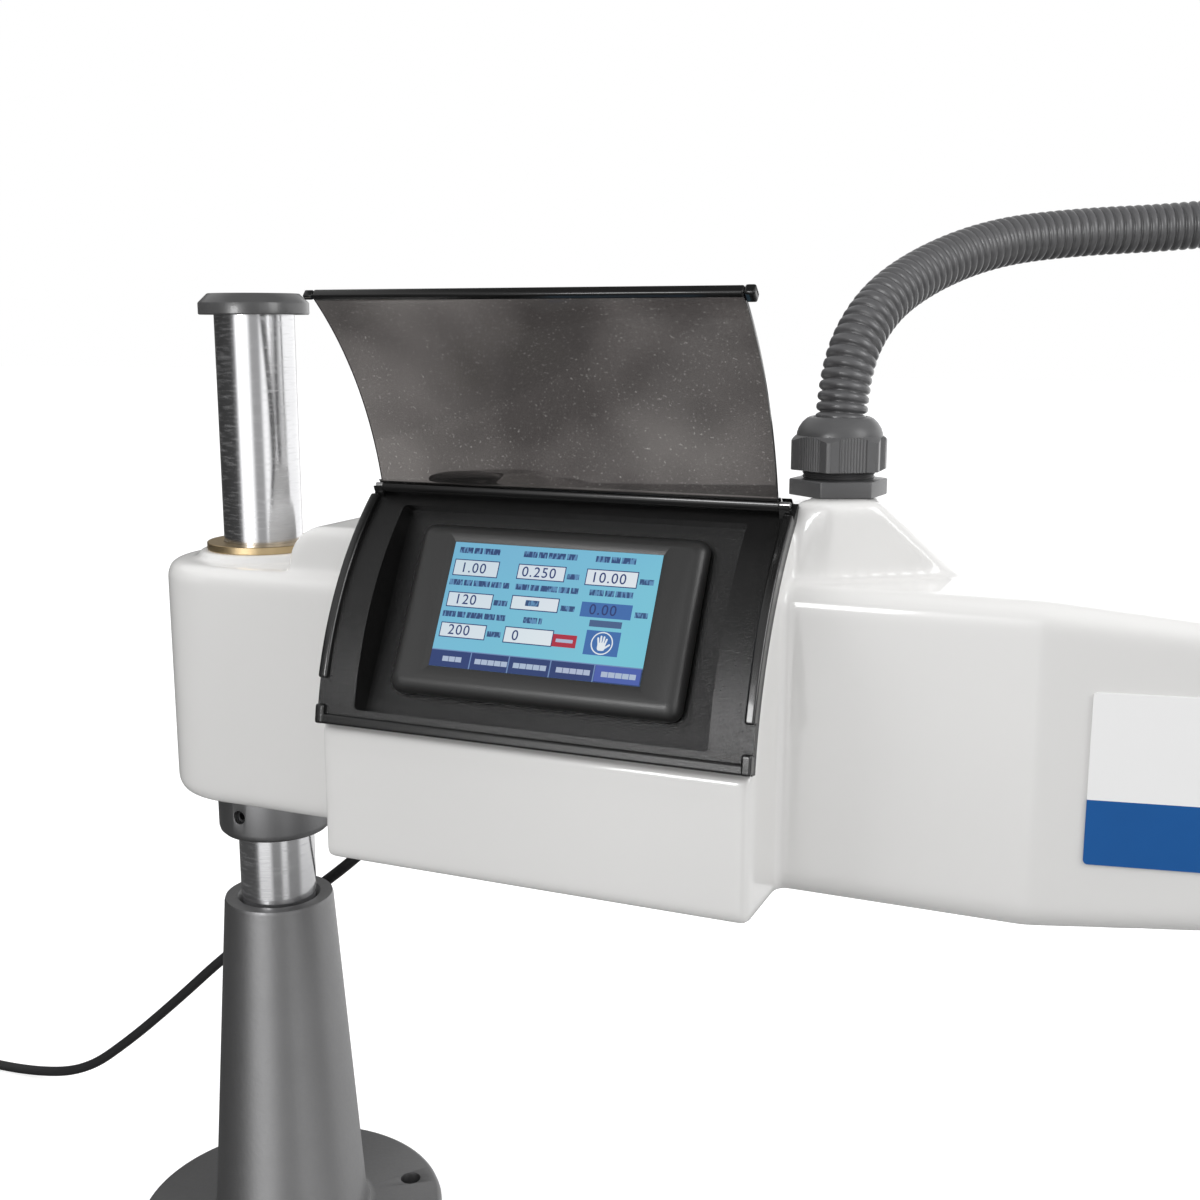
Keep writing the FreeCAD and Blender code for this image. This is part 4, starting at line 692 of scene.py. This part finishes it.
def lit_ink(name, colour, faded=None, broken=None):
    """Light of the picture; it fades to a second colour and may be broken into upright strokes."""
    finish, tree, skin = shader(name)
    skin.inputs["Base Color"].default_value = (0.01, 0.01, 0.01, 1)
    skin.inputs["Roughness"].default_value = 0.3
    skin.inputs["Specular IOR Level"].default_value = 0.25
    skin.inputs["Emission Strength"].default_value = ink_strength
    place = joined(tree, "ShaderNodeTexCoord").outputs["Object"]
    grain = noise(tree, place, 25.0)
    along = joined(tree, "ShaderNodeVectorMath", [(0, place)], operation="DOT_PRODUCT")
    along.inputs[1].default_value = fade_way
    tone = mixed(tree, spread(tree, along.outputs["Value"], fade_start, fade_end), colour, faded or colour)
    haze = joined(tree, "ShaderNodeMix", [(6, tone), (7, grain.outputs[1])], data_type="RGBA",
                  blend_type="SOFT_LIGHT")
    haze.inputs[0].default_value = 0.12
    tone = haze.outputs[2]
    if broken:
        narrow = joined(tree, "ShaderNodeMapping", [("Vector", place)], Scale=(880, 250, 250))
        strokes = noise(tree, narrow.outputs[0], 1.0, 1.0)
        tone = mixed(tree, spread(tree, strokes.outputs[0], 0.50, 0.58), tone, broken)
    tree.links.new(tone, skin.inputs["Emission Color"])
    return finish


def lit(piece, finish):
    """Gives a flat part of the picture its light."""
    return shown(on_screen(piece), "arm", finish, "screen_glass")


def tiles(name, boxes, low, high, finish):
    """Rectangles of the picture as one piece."""
    return lit(gathered(name, *[slab(name, box, low, high) for box in boxes]), finish)


def figures(name, rows, size, level, finish):
    """Plain numbers of the picture as one piece."""
    made = []
    for number, across, up in rows:
        bpy.ops.object.select_all(action="DESELECT")
        bpy.ops.object.text_add(location=(0, 0, 0))
        letters = bpy.context.object.data
        letters.body = number
        letters.size = size * mm
        letters.extrude = 0.012 * mm
        letters.offset = 0.04 * mm
        letters.space_character = 1.15
        bpy.ops.object.convert(target="MESH")
        made.append(bpy.context.object)
        made[-1].data.transform(Matrix.Translation(Vector((across, up, level)) * mm))
    return lit(gathered(name, *made), finish)


# The picture is built up in thin layers over the glass: ground, low marks, high marks, words.
ground, low_mark, high_mark, word_top = 0.06, 0.09, 0.12, 0.14
lit(slab("picture", (-56.4, -32.7, 56.4, 32.7), 0.02, ground),
    lit_ink("picture_sky", (0.175, 0.45, 0.68), (0.19, 0.57, 0.71)))
picture_white = lit_ink("picture_white", (0.60, 0.70, 0.80), (0.80, 0.86, 0.90))
picture_navy = lit_ink("picture_navy", (0.02, 0.045, 0.17))
picture_blue = lit_ink("picture_blue", (0.045, 0.15, 0.42))
picture_word = lit_ink("picture_word", (0.02, 0.05, 0.17), (0.03, 0.09, 0.22), broken=(0.11, 0.27, 0.48))
fields = [(-54, 15.4, -29.7, 23.2), (-18.2, 15.9, 6.9, 22.9), (18.9, 15.4, 45.2, 22.9),
          (-53.7, -1.1, -29.3, 5.9), (-18.2, 0.1, 6.7, 6.5), (-54, -17, -29.4, -10.2),
          (-18.4, -17.1, 7.1, -9.7)]
tiles("picture_edges", [(a - 0.5, b - 0.5, c + 0.5, d + 0.5) for a, b, c, d in fields],
      ground, low_mark, picture_navy)
tiles("picture_fields", fields, low_mark, high_mark, picture_white)
tiles("picture_marked", [(19.1, -1.0, 45.6, 6.5), (24.5, -19.6, 42.3, -7.4)], ground, low_mark, picture_blue)
tiles("picture_label", [(25, -5.6, 41.8, -2.3)], ground, low_mark,
      lit_ink("picture_shade", (0.06, 0.12, 0.26)))
tiles("picture_red", [(7.5, -17.2, 20.1, -10.9)], ground, low_mark,
      lit_ink("picture_warn", (0.42, 0.02, 0.05)))
tiles("picture_tabs", [(-56.4, -32.7, 56.4, -23.8)], ground, low_mark, picture_navy)
tiles("picture_tab_open", [(32.6, -32.2, 55.9, -24.3)], low_mark, high_mark,
      lit_ink("picture_tab", (0.065, 0.11, 0.42)))
tiles("picture_tab_gaps", [(a - 0.3, -32.7, a + 0.3, -24.3) for a in (-34.1, -13.2, 9.1, 32.1)]
      + [(-56.4, -24.3, 56.4, -23.8)], low_mark, high_mark, lit_ink("picture_line", (0.16, 0.26, 0.48)))
figures("picture_numbers", [("1.00", -50.5, 16.9), ("0.250", -16.2, 17.0), ("10.00", 21.2, 16.7),
                            ("120", -50, 0.2), ("0.00", 23.5, 0.5), ("200", -50, -15.8), ("0", -14.6, -15.9)],
        7.4, word_top, picture_navy)
word_spots = [(-53, -29, 27.0, 3.1), (-17, 12, 27.0, 3.1), (22, 43, 27.0, 3.1), (-55, -21.5, 9.9, 3.0),
              (-18, 16, 9.9, 3.0), (22, 45, 9.9, 3.0), (-55, -20, -6.8, 3.0), (-10, 0, -6.8, 3.0),
              (8.5, 15, 17.1, 2.8), (46.8, 54, 17.1, 2.8), (-28, -18.8, 0.8, 2.8), (8.5, 16.5, 0.8, 2.8),
              (47.4, 54, 0.4, 2.8), (-28, -19, -15.4, 2.8), (-10.8, -2.4, 1.9, 3.0)]
words = []
for start, end, up, tall in word_spots:
    at, step = start, 0
    while at < end - 1.0:
        wide = (7.4, 4.6, 9.1, 5.8)[step % 4]
        words.append((at, up, min(end, at + wide), up + tall))
        at += wide + 0.8
        step += 1
tiles("picture_words", words, ground, word_top, picture_word)
tab_words = [(-49.5, 3), (-31.5, 5), (-10.5, 5), (12.5, 5), (36, 5)]
letter, letter_step = 3.3, 3.6
tiles("picture_tab_words", [(a + k * letter_step, -29.8, a + k * letter_step + letter, -27.2)
                            for a, n in tab_words for k in range(n)]
      + [(9.3, -14.9, 18.3, -13.2)], high_mark, word_top, lit_ink("picture_pale", (0.42, 0.50, 0.66)))
disc_at, round_turn = (33.4, -13.5), range(0, 360, 12)
disc = outlined("disc", arc(disc_at, 5.7, round_turn), low_mark, 0.11)
cut(disc, outlined("disc_way", arc(disc_at, 5.1, round_turn), 0, 1))
lit(disc, picture_white).name = "picture_ring"
hand = [outlined("palm", corner_box(31.3, 35.3, -17.2, -13.2, 1.2, 3), low_mark, 0.13)]
for lean, across, reach in ((12, 31.7, 3.3), (3, 32.8, 4.2), (-5, 33.9, 4.0), (-14, 35.0, 3.0),
                            (-52, 35.3, 3.0)):
    finger = outlined("finger", corner_box(-0.46, 0.46, -0.6, reach, 0.44, 3), low_mark, 0.13)
    root = Vector((across, -13.9 if lean > -50 else -15.6, 0)) * mm
    finger.data.transform(Matrix.Translation(root) @ Matrix.Rotation(math.radians(lean), 4, "Z"))
    hand.append(finger)
lit(gathered("picture_hand", *hand), picture_white)

# ---------------------------------------------------------------- lid
# A thin curved sheet of smoked acrylic that swings on a steel pin and stands open, with a
# glossy black strip clipped along its free edge.
lid_smoke, tree, skin = shader("lid_smoke")
skin.inputs["IOR"].default_value = 1.49
skin.inputs["Specular IOR Level"].default_value = 0.14
skin.inputs["Transmission Weight"].default_value = 0.97
skin.inputs["Roughness"].default_value = 0.05
place = joined(tree, "ShaderNodeTexCoord").outputs["Object"]
# The smoke's tint is mottled darker and lighter by a broad noise. These clouds are partly a painted
# reflection of dark shapes round the lid. The fine light specks laid over them are dust.
smoke_mottle_and_painted_reflection = noise(tree, place, 11.0)
smoke_and_painted_reflection = mixed(tree, spread(tree, smoke_mottle_and_painted_reflection.outputs[0], 0.40, 0.72), (0.062, 0.057, 0.055), (0.175, 0.163, 0.157))
dust = noise(tree, place, 900.0, 0.0)
dust_on_painted_reflection = mixed(tree, spread(tree, dust.outputs[0], 0.755, 0.80, 0.0, 0.5), smoke_and_painted_reflection, (0.6, 0.58, 0.56))
tree.links.new(dust_on_painted_reflection, skin.inputs["Base Color"])
lid_low, lid_high, lid_inside, lid_edge = 108.8, 323.8, 177.4, 12.9
sheet = band("lid_sheet", 180.2, 177.6, 13.4, 49.6, 40, lid_low, lid_high)
eased(sheet, 0.5, 2, 50)
hinge = Vector((0, *pivot)) * mm
opened = (Matrix.Translation(hinge) @ Matrix.Rotation(math.radians(-117), 4, "X")
          @ Matrix.Translation(-hinge))
sheet.data.transform(opened)
barrel = turned("lid_barrel", [(1.6, 0), (3.4, 0), (3.4, 215), (1.6, 215)], (lid_low, *pivot), 32, "X")
shown(smooth(sheet, 30), "lid", lid_smoke, "lid_smoke", "lid_panel")
lid_trim = surface("lid_trim", (0.008, 0.008, 0.008), 0.18, coat=0.25, patch=0.1, relief=0.03, shine=0.35)
sheet.data.materials.append(lid_trim)
for face in sheet.data.polygons:
    face.material_index = int(abs(face.normal.x) > 0.5)
shown(smooth(barrel, 40), "lid", lid_trim, "lid_smoke")
strip = band("lid_strip_rail", 182.0, lid_inside, lid_edge, 14.1, 3, lid_low, lid_high)
ears = [band("ear", out, lid_inside, lid_edge, end, 4, low, low + 5)
        for low, out, end in ((lid_low - 5, 181.6, 13.9), (lid_high, 182.4, 15.1))]
strip = gathered("lid_strip_rail", eased(strip, 1.1, 3, 40), *[eased(ear, 1.1, 3, 40) for ear in ears])
strip.data.transform(opened)
shown(smooth(strip, 40), "lid", lid_trim, "lid_trim", "lid_strip")

# ---------------------------------------------------------------- mains push button
# A domed black plastic button on a short stem, which slides in its stepped socket in the deck
# and presses the switch inside the arm.
button_black = surface("button_black", (0.014, 0.014, 0.015), 0.24, coat=0.3, patch=0.1, relief=0.05)
dome = [(19 * math.sin(math.radians(w)), 492.1 + 4 * math.cos(math.radians(w))) for w in range(0, 91, 9)]
button = turned("push_button", dome + [(19, 484), (4, 484), (4, 480.2), (0, 480.2)], (button_x, 0, 0), 72)
shown(smooth(button, 40), "button", button_black, "button_black", "mains_button")

# ---------------------------------------------------------------- conduit and its glands
# A grey corrugated plastic conduit that carries the motor and switch cables over the elbow
# from a screwed gland on the arm to another on the yoke.
gland_grey = surface("gland_grey", (0.085, 0.085, 0.087), 0.36, patch=0.08, relief=0.12)
conduit_grey = surface("conduit_grey", (0.082, 0.082, 0.085), 0.34, patch=0.10, relief=0.12, shine=0.7)


def gland(prefix, x, y, low, turn, body, body_node, nut_node):
    """Hexagon base with its threaded neck, and the fluted hexagon nut with its domed crown."""
    flat, corner, axis_at = 21.3, 23.4, (x, y, 0)
    base = outlined(prefix + "_base", arc((x, y), 24.2, [w + turn for w in range(0, 360, 60)]), low, low + 8)
    eased(base, 0.7, 3, 40)
    threads = [(17.6 - 0.7 * (k % 2), low + 7.2 + 0.9 * k) for k in range(7)]
    neck = turned("gland_neck", [(12.6, low + 6.5), (16.9, low + 6.5)] + threads + [(12.6, low + 12.6)],
                  axis_at, 64)
    shown(smooth(gathered(prefix + "_base", base, neck), 35), body, gland_grey, "gland_grey", body_node)

    # The nut's outline by half degrees; off is the angle from the nearest corner, and past 12
    # degrees from it the flats are finely fluted.
    flutes = []
    for step in range(720):
        w = step / 2 - turn - 8
        off = abs((w + 30) % 60 - 30)
        edge = corner + 0.6 * math.cos(math.radians(off * 8)) * (off < 11)
        reach = min(flat / math.cos(math.radians(30 - off)), edge)
        if off > 12:
            reach -= 0.22 * (1 + math.cos(2 * math.pi * w / 4.0))
        flutes += arc((x, y), reach, [step / 2])
    nut = outlined(prefix + "_nut", flutes, low + 12.5, low + 29)
    cone = turned("cone", [(0, low + 12), (24.6, low + 12), (24.6, low + 26.2), (20.6, low + 29.2),
                           (0, low + 29.2)], axis_at, 64)
    worked(nut, "INTERSECT", cone)
    cut(nut, rod("nut_way", 14, low, low + 60, axis_at, 48))
    crown = turned("crown", [(13, low + 28.5), (20.8, low + 28.5), (20.7, low + 30.2), (19.9, low + 32.6),
                             (18.2, low + 35.2), (16.2, low + 37.1), (14.4, low + 38), (13, low + 38)],
                   axis_at, 64)
    shown(smooth(gathered(prefix + "_nut", nut, crown), 35), body, gland_grey, "gland_grey", nut_node)


far_x, far_y = 608.57, 45.96
gland("arm_gland", gland_x, 0.0, boss_top, 24, "arm", "conduit_gland_body", "conduit_gland_nut")
gland("upper_gland", far_x, far_y, 483.3, 14, "yoke", "yoke_gland_body", "yoke_gland_nut")
conduit_route = [(gland_x, 0, 511.3), (gland_x, 0, 548), (350, 22, 580), (367, 59, 600), (395, 98, 615),
                 (432, 128, 621), (482, 156, 624), (544, 172, 630), (592, 160, 625), (far_x, 120, 604),
                 (far_x, 70, 572), (far_x, far_y, 545), (far_x, far_y, 503.3)]
rib_step = 0.0007
conduit_spots, conduit_length = even_steps(route_line([Vector(p) * mm for p in conduit_route]), rib_step)
rib = (10.2, 11.7, 12.35, 12.5, 12.5, 12.35, 11.7)
ribs = [rib[i % len(rib)] * mm for i in range(len(conduit_spots))]
conduit = hose("cable_conduit", conduit_spots, ribs, 28)
conduit.data.materials.append(conduit_grey)
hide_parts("conduit")
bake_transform(conduit)

# ---------------------------------------------------------------- pillar, cap, bushes, collar and foot
# A ground steel pillar stands in a plain conical iron foot. Bronze bushes carry the arm
# on it, a clamped collar sets its height and a chamfered black cap closes its top.
pillar_steel, tree, skin = shader("pillar_steel")
place = joined(tree, "ShaderNodeTexCoord").outputs["Object"]
lines = joined(tree, "ShaderNodeMapping", [("Vector", place)], Scale=(0.6, 0.6, 300))
grind = noise(tree, lines.outputs[0], 6.0, 5.0)
haze = noise(tree, place, 30.0, 3.0)
tone = mixed(tree, haze.outputs[0], (0.54, 0.54, 0.55), (0.64, 0.64, 0.65))
tree.links.new(tone, skin.inputs["Base Color"])
rubbed = joined(tree, "ShaderNodeMapping", [("Vector", place)], Scale=(90, 90, 700))
scuffs = noise(tree, rubbed.outputs[0], 1.0, 5.0)
worn = spread(tree, scuffs.outputs[0], 0.50, 0.75, 0.0, 0.10)
bared = spread(tree, scuffs.outputs[0], 0.50, 0.72, 1.0, 0.86)
tree.links.new(bared, skin.inputs["Metallic"])
gloss = spread(tree, grind.outputs[0], 0.0, 1.0, 0.12, 0.20)
tree.links.new(reckoned(tree, "ADD", gloss, worn), skin.inputs["Roughness"])
bump = joined(tree, "ShaderNodeBump", [("Height", grind.outputs[0])], Strength=0.12, Distance=0.0002)
tree.links.new(bump.outputs[0], skin.inputs["Normal"])
pillar_radius, pillar_low, pillar_top = 22.5, 60, 578.6
pillar = turned("pillar", [(0, pillar_low), (21.5, pillar_low), (pillar_radius, 61),
                           (pillar_radius, pillar_top), (16.5, pillar_top), (16.5, 556), (0, 556)],
                steps=160)
shown(smooth(pillar, 30), "base", pillar_steel, "pillar_steel", "column")
cap_black = surface("cap_black", (0.062, 0.062, 0.063), 0.30, coat=0.15, patch=0.08, grain=1000,
                    relief=0.1, shine=0.6)
cap = turned("pillar_cap", [(0, 590.4), (25.4, 590.4), (25.9, 590.2), (30.8, 585.4), (31, 584.9),
                            (31, 579.2), (30.4, pillar_top), (16.4, pillar_top), (16.4, 575.6), (0, 575.6)])
shown(smooth(cap, 30), "base", cap_black, "cap_black", "column_cap")
bush_brass = surface("bush_brass", (0.55, 0.42, 0.24), 0.34, metal=1.0, patch=0.08, grain=700, relief=0.1)
washer = turned("top_bush", [(22.55, 425), (27.4, 425), (27.4, 444.8), (32.0, 444.8), (32.3, 445.2),
                             (32.3, 448.8), (32.0, 449.1), (22.8, 449.1), (22.55, 448.8)])
shown(smooth(washer, 30), "arm", bush_brass, "bush_brass", "upper_bush")
collar_steel = surface("collar_steel", (0.28, 0.28, 0.285), 0.42, patch=0.08, metal=1.0)
collar = turned("set_collar", [(22.6, 272.7), (28.5, 272.7), (31, 273.4), (32.8, 275.2), (33.5, 277.7),
                               (33.5, 302.0), (33.0, 302.5), (22.6, 302.5)])
screw_way = rod("screw_way", 4.1, 20, 40, (0, 0, 288.5), 24, "X")
screw_way.data.transform(Matrix.Rotation(math.radians(-93), 4, "Z"))
cut(collar, screw_way)
eased(collar, 0.4, 2, 50)
foot_paint = surface("foot_paint", (0.19, 0.19, 0.192), 0.45, patch=0.07, grain=420, relief=0.25,
                     metal=0.9, coat=0.1)
foot = turned("foot_casting", [(0, 0), (94, 0), (95, 1), (95, 15), (94.2, 17.2), (92, 18), (53, 18),
                               (49.5, 19.2), (47.3, 22.5), (32.8, 228), (32.2, 230), (25, 230),
                               (22.6, 227.5), (22.6, pillar_low), (0, pillar_low)], steps=128)
bolt_circle = 77.5
for x, y in arc((0, 0), bolt_circle, (45, 135, 225, 315)):
    cut(foot, rod("bolt_way", 6.5, -5, 30, (x, y, 0), 32))
eased(foot, 0.6, 2, 50)
shown(smooth(foot, 35), "base", foot_paint, "foot_paint", "base_casting")
shown(smooth(collar, 30), "collar", collar_steel, "collar_steel", "height_collar")

# ---------------------------------------------------------------- name plate
# A blank printed aluminium plate stuck on the tapered side: white over blue, with no words.
# It keeps the frame's own flat piece and takes only the printed finish.
def coated(node, finish):
    """Gives a frame piece that keeps its own shape another finish."""
    nodes[node].data.materials.clear()
    nodes[node].data.materials.append(finish)


plate_split = 0.3675
plate_blue, tree, skin = shader("plate_blue")
place = joined(tree, "ShaderNodeTexCoord").outputs["Object"]
high = joined(tree, "ShaderNodeSeparateXYZ", [(0, place)])
white_part = reckoned(tree, "GREATER_THAN", high.outputs["Z"], plate_split)
grain = noise(tree, place, 60.0)
blue = mixed(tree, grain.outputs[0], (0.002, 0.078, 0.28), (0.003, 0.088, 0.31))
tree.links.new(mixed(tree, white_part, blue, (0.83, 0.83, 0.83)), skin.inputs["Base Color"])
skin.inputs["Roughness"].default_value = 0.5
skin.inputs["Specular IOR Level"].default_value = 0.25
coated("name_plate", plate_blue)

# ---------------------------------------------------------------- pieces kept from the frame
# Machined and bought-in pieces keep the frame's shape, each with merged faces, eased edges
# and its own finish.
finishes = [
    ("pin_steel", (0.48, 0.48, 0.48), 0.28, {"metal": 1.0, "patch": 0.08, "relief": 0.1}),
    ("screw_black", (0.03, 0.03, 0.032), 0.35, {"patch": 0.1, "relief": 0.1, "metal": 0.4}),
    ("screw_steel", (0.4, 0.4, 0.4), 0.3, {"metal": 1.0, "patch": 0.1, "relief": 0.1}),
    ("switch_plastic", (0.03, 0.03, 0.03), 0.4, {}),
    ("device_case", (0.25, 0.26, 0.27), 0.4, {"metal": 0.4}),
    ("cover_paint", (0.68, 0.675, 0.66), 0.28,
     {"coat": 0.4, "patch": 0.02, "patch_size": 18, "grain": 260, "relief": 0.05}),
    ("bearing_steel", (0.5, 0.5, 0.5), 0.25, {"metal": 1.0}),
    ("spring_black", (0.015, 0.015, 0.016), 0.22, {"coat": 0.4, "relief": 0.05}),
    ("motor_black", (0.022, 0.022, 0.024), 0.36, {"patch": 0.1, "grain": 700, "relief": 0.2}),
    ("grip_rubber", (0.016, 0.016, 0.017), 0.6,
     {"patch": 0.15, "grain": 600, "relief": 0.4, "relief_depth": 0.0006}),
    ("start_green", (0.02, 0.33, 0.09), 0.28, {"coat": 0.3, "relief": 0.05}),
    ("stop_yellow", (0.80, 0.52, 0.02), 0.35, {"coat": 0.2, "relief": 0.05}),
    ("stop_red", (0.60, 0.02, 0.02), 0.25, {"coat": 0.3, "relief": 0.05}),
    ("chuck_steel", (0.42, 0.42, 0.42), 0.26, {"metal": 1.0, "patch": 0.08, "relief": 0.08}),
    ("sleeve_black", (0.03, 0.03, 0.032), 0.3, {"metal": 0.5, "relief": 0.1}),
]
plain = {name: surface(name, colour, roughness, **more) for name, colour, roughness, more in finishes}
plain.update(arm_paint=arm_paint, gland_grey=gland_grey, lead_rubber=lead_rubber, bush_brass=bush_brass)


def dressed(node, finish, ease):
    """Copy of a frame part with its faces merged, its edges eased and its own finish."""
    copy = nodes[node].copy()
    copy.data = nodes[node].data.copy()
    for key in list(copy.keys()):
        del copy[key]
    copy.parent = None
    copy.name = node + "_piece"
    bpy.context.scene.collection.objects.link(copy)
    in_edit(copy)
    bpy.ops.mesh.remove_doubles(threshold=0.00002)
    bpy.ops.mesh.dissolve_limited(angle_limit=math.radians(4.0))
    bpy.ops.object.mode_set(mode="OBJECT")
    eased(copy, ease, 2, 40)
    return shown(levelled(smooth(copy, 35)), nodes[node]["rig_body"], finish, slot_of[node], node)


slot_of = {part["node"]: part["material_slot"] for part in frame["record"]["subparts"]}
eases = {"elbow_yoke": 1.5, "head_bracket": 1.2, "gearbox_housing": 1.5, "servo_motor": 0.8,
         "servo_encoder": 0.8, "upper_link_left": 0.8, "upper_link_right": 0.8, "lower_link_left": 0.8,
         "lower_link_right": 0.8, "rear_cover": 0.5, "lid_hinge_pin": 0.2, "emergency_stop_head": 1.5,
         "emergency_stop_base": 0.8, "start_button_left": 0.6, "start_button_right": 0.6}
usual_ease = 0.4
for node in sorted(nodes):
    if nodes[node].hide_render or node == "name_plate":
        continue
    if node == "plug":
        coated(node, lead_rubber)
        continue
    dressed(node, plain[slot_of[node]], eases.get(node, usual_ease))
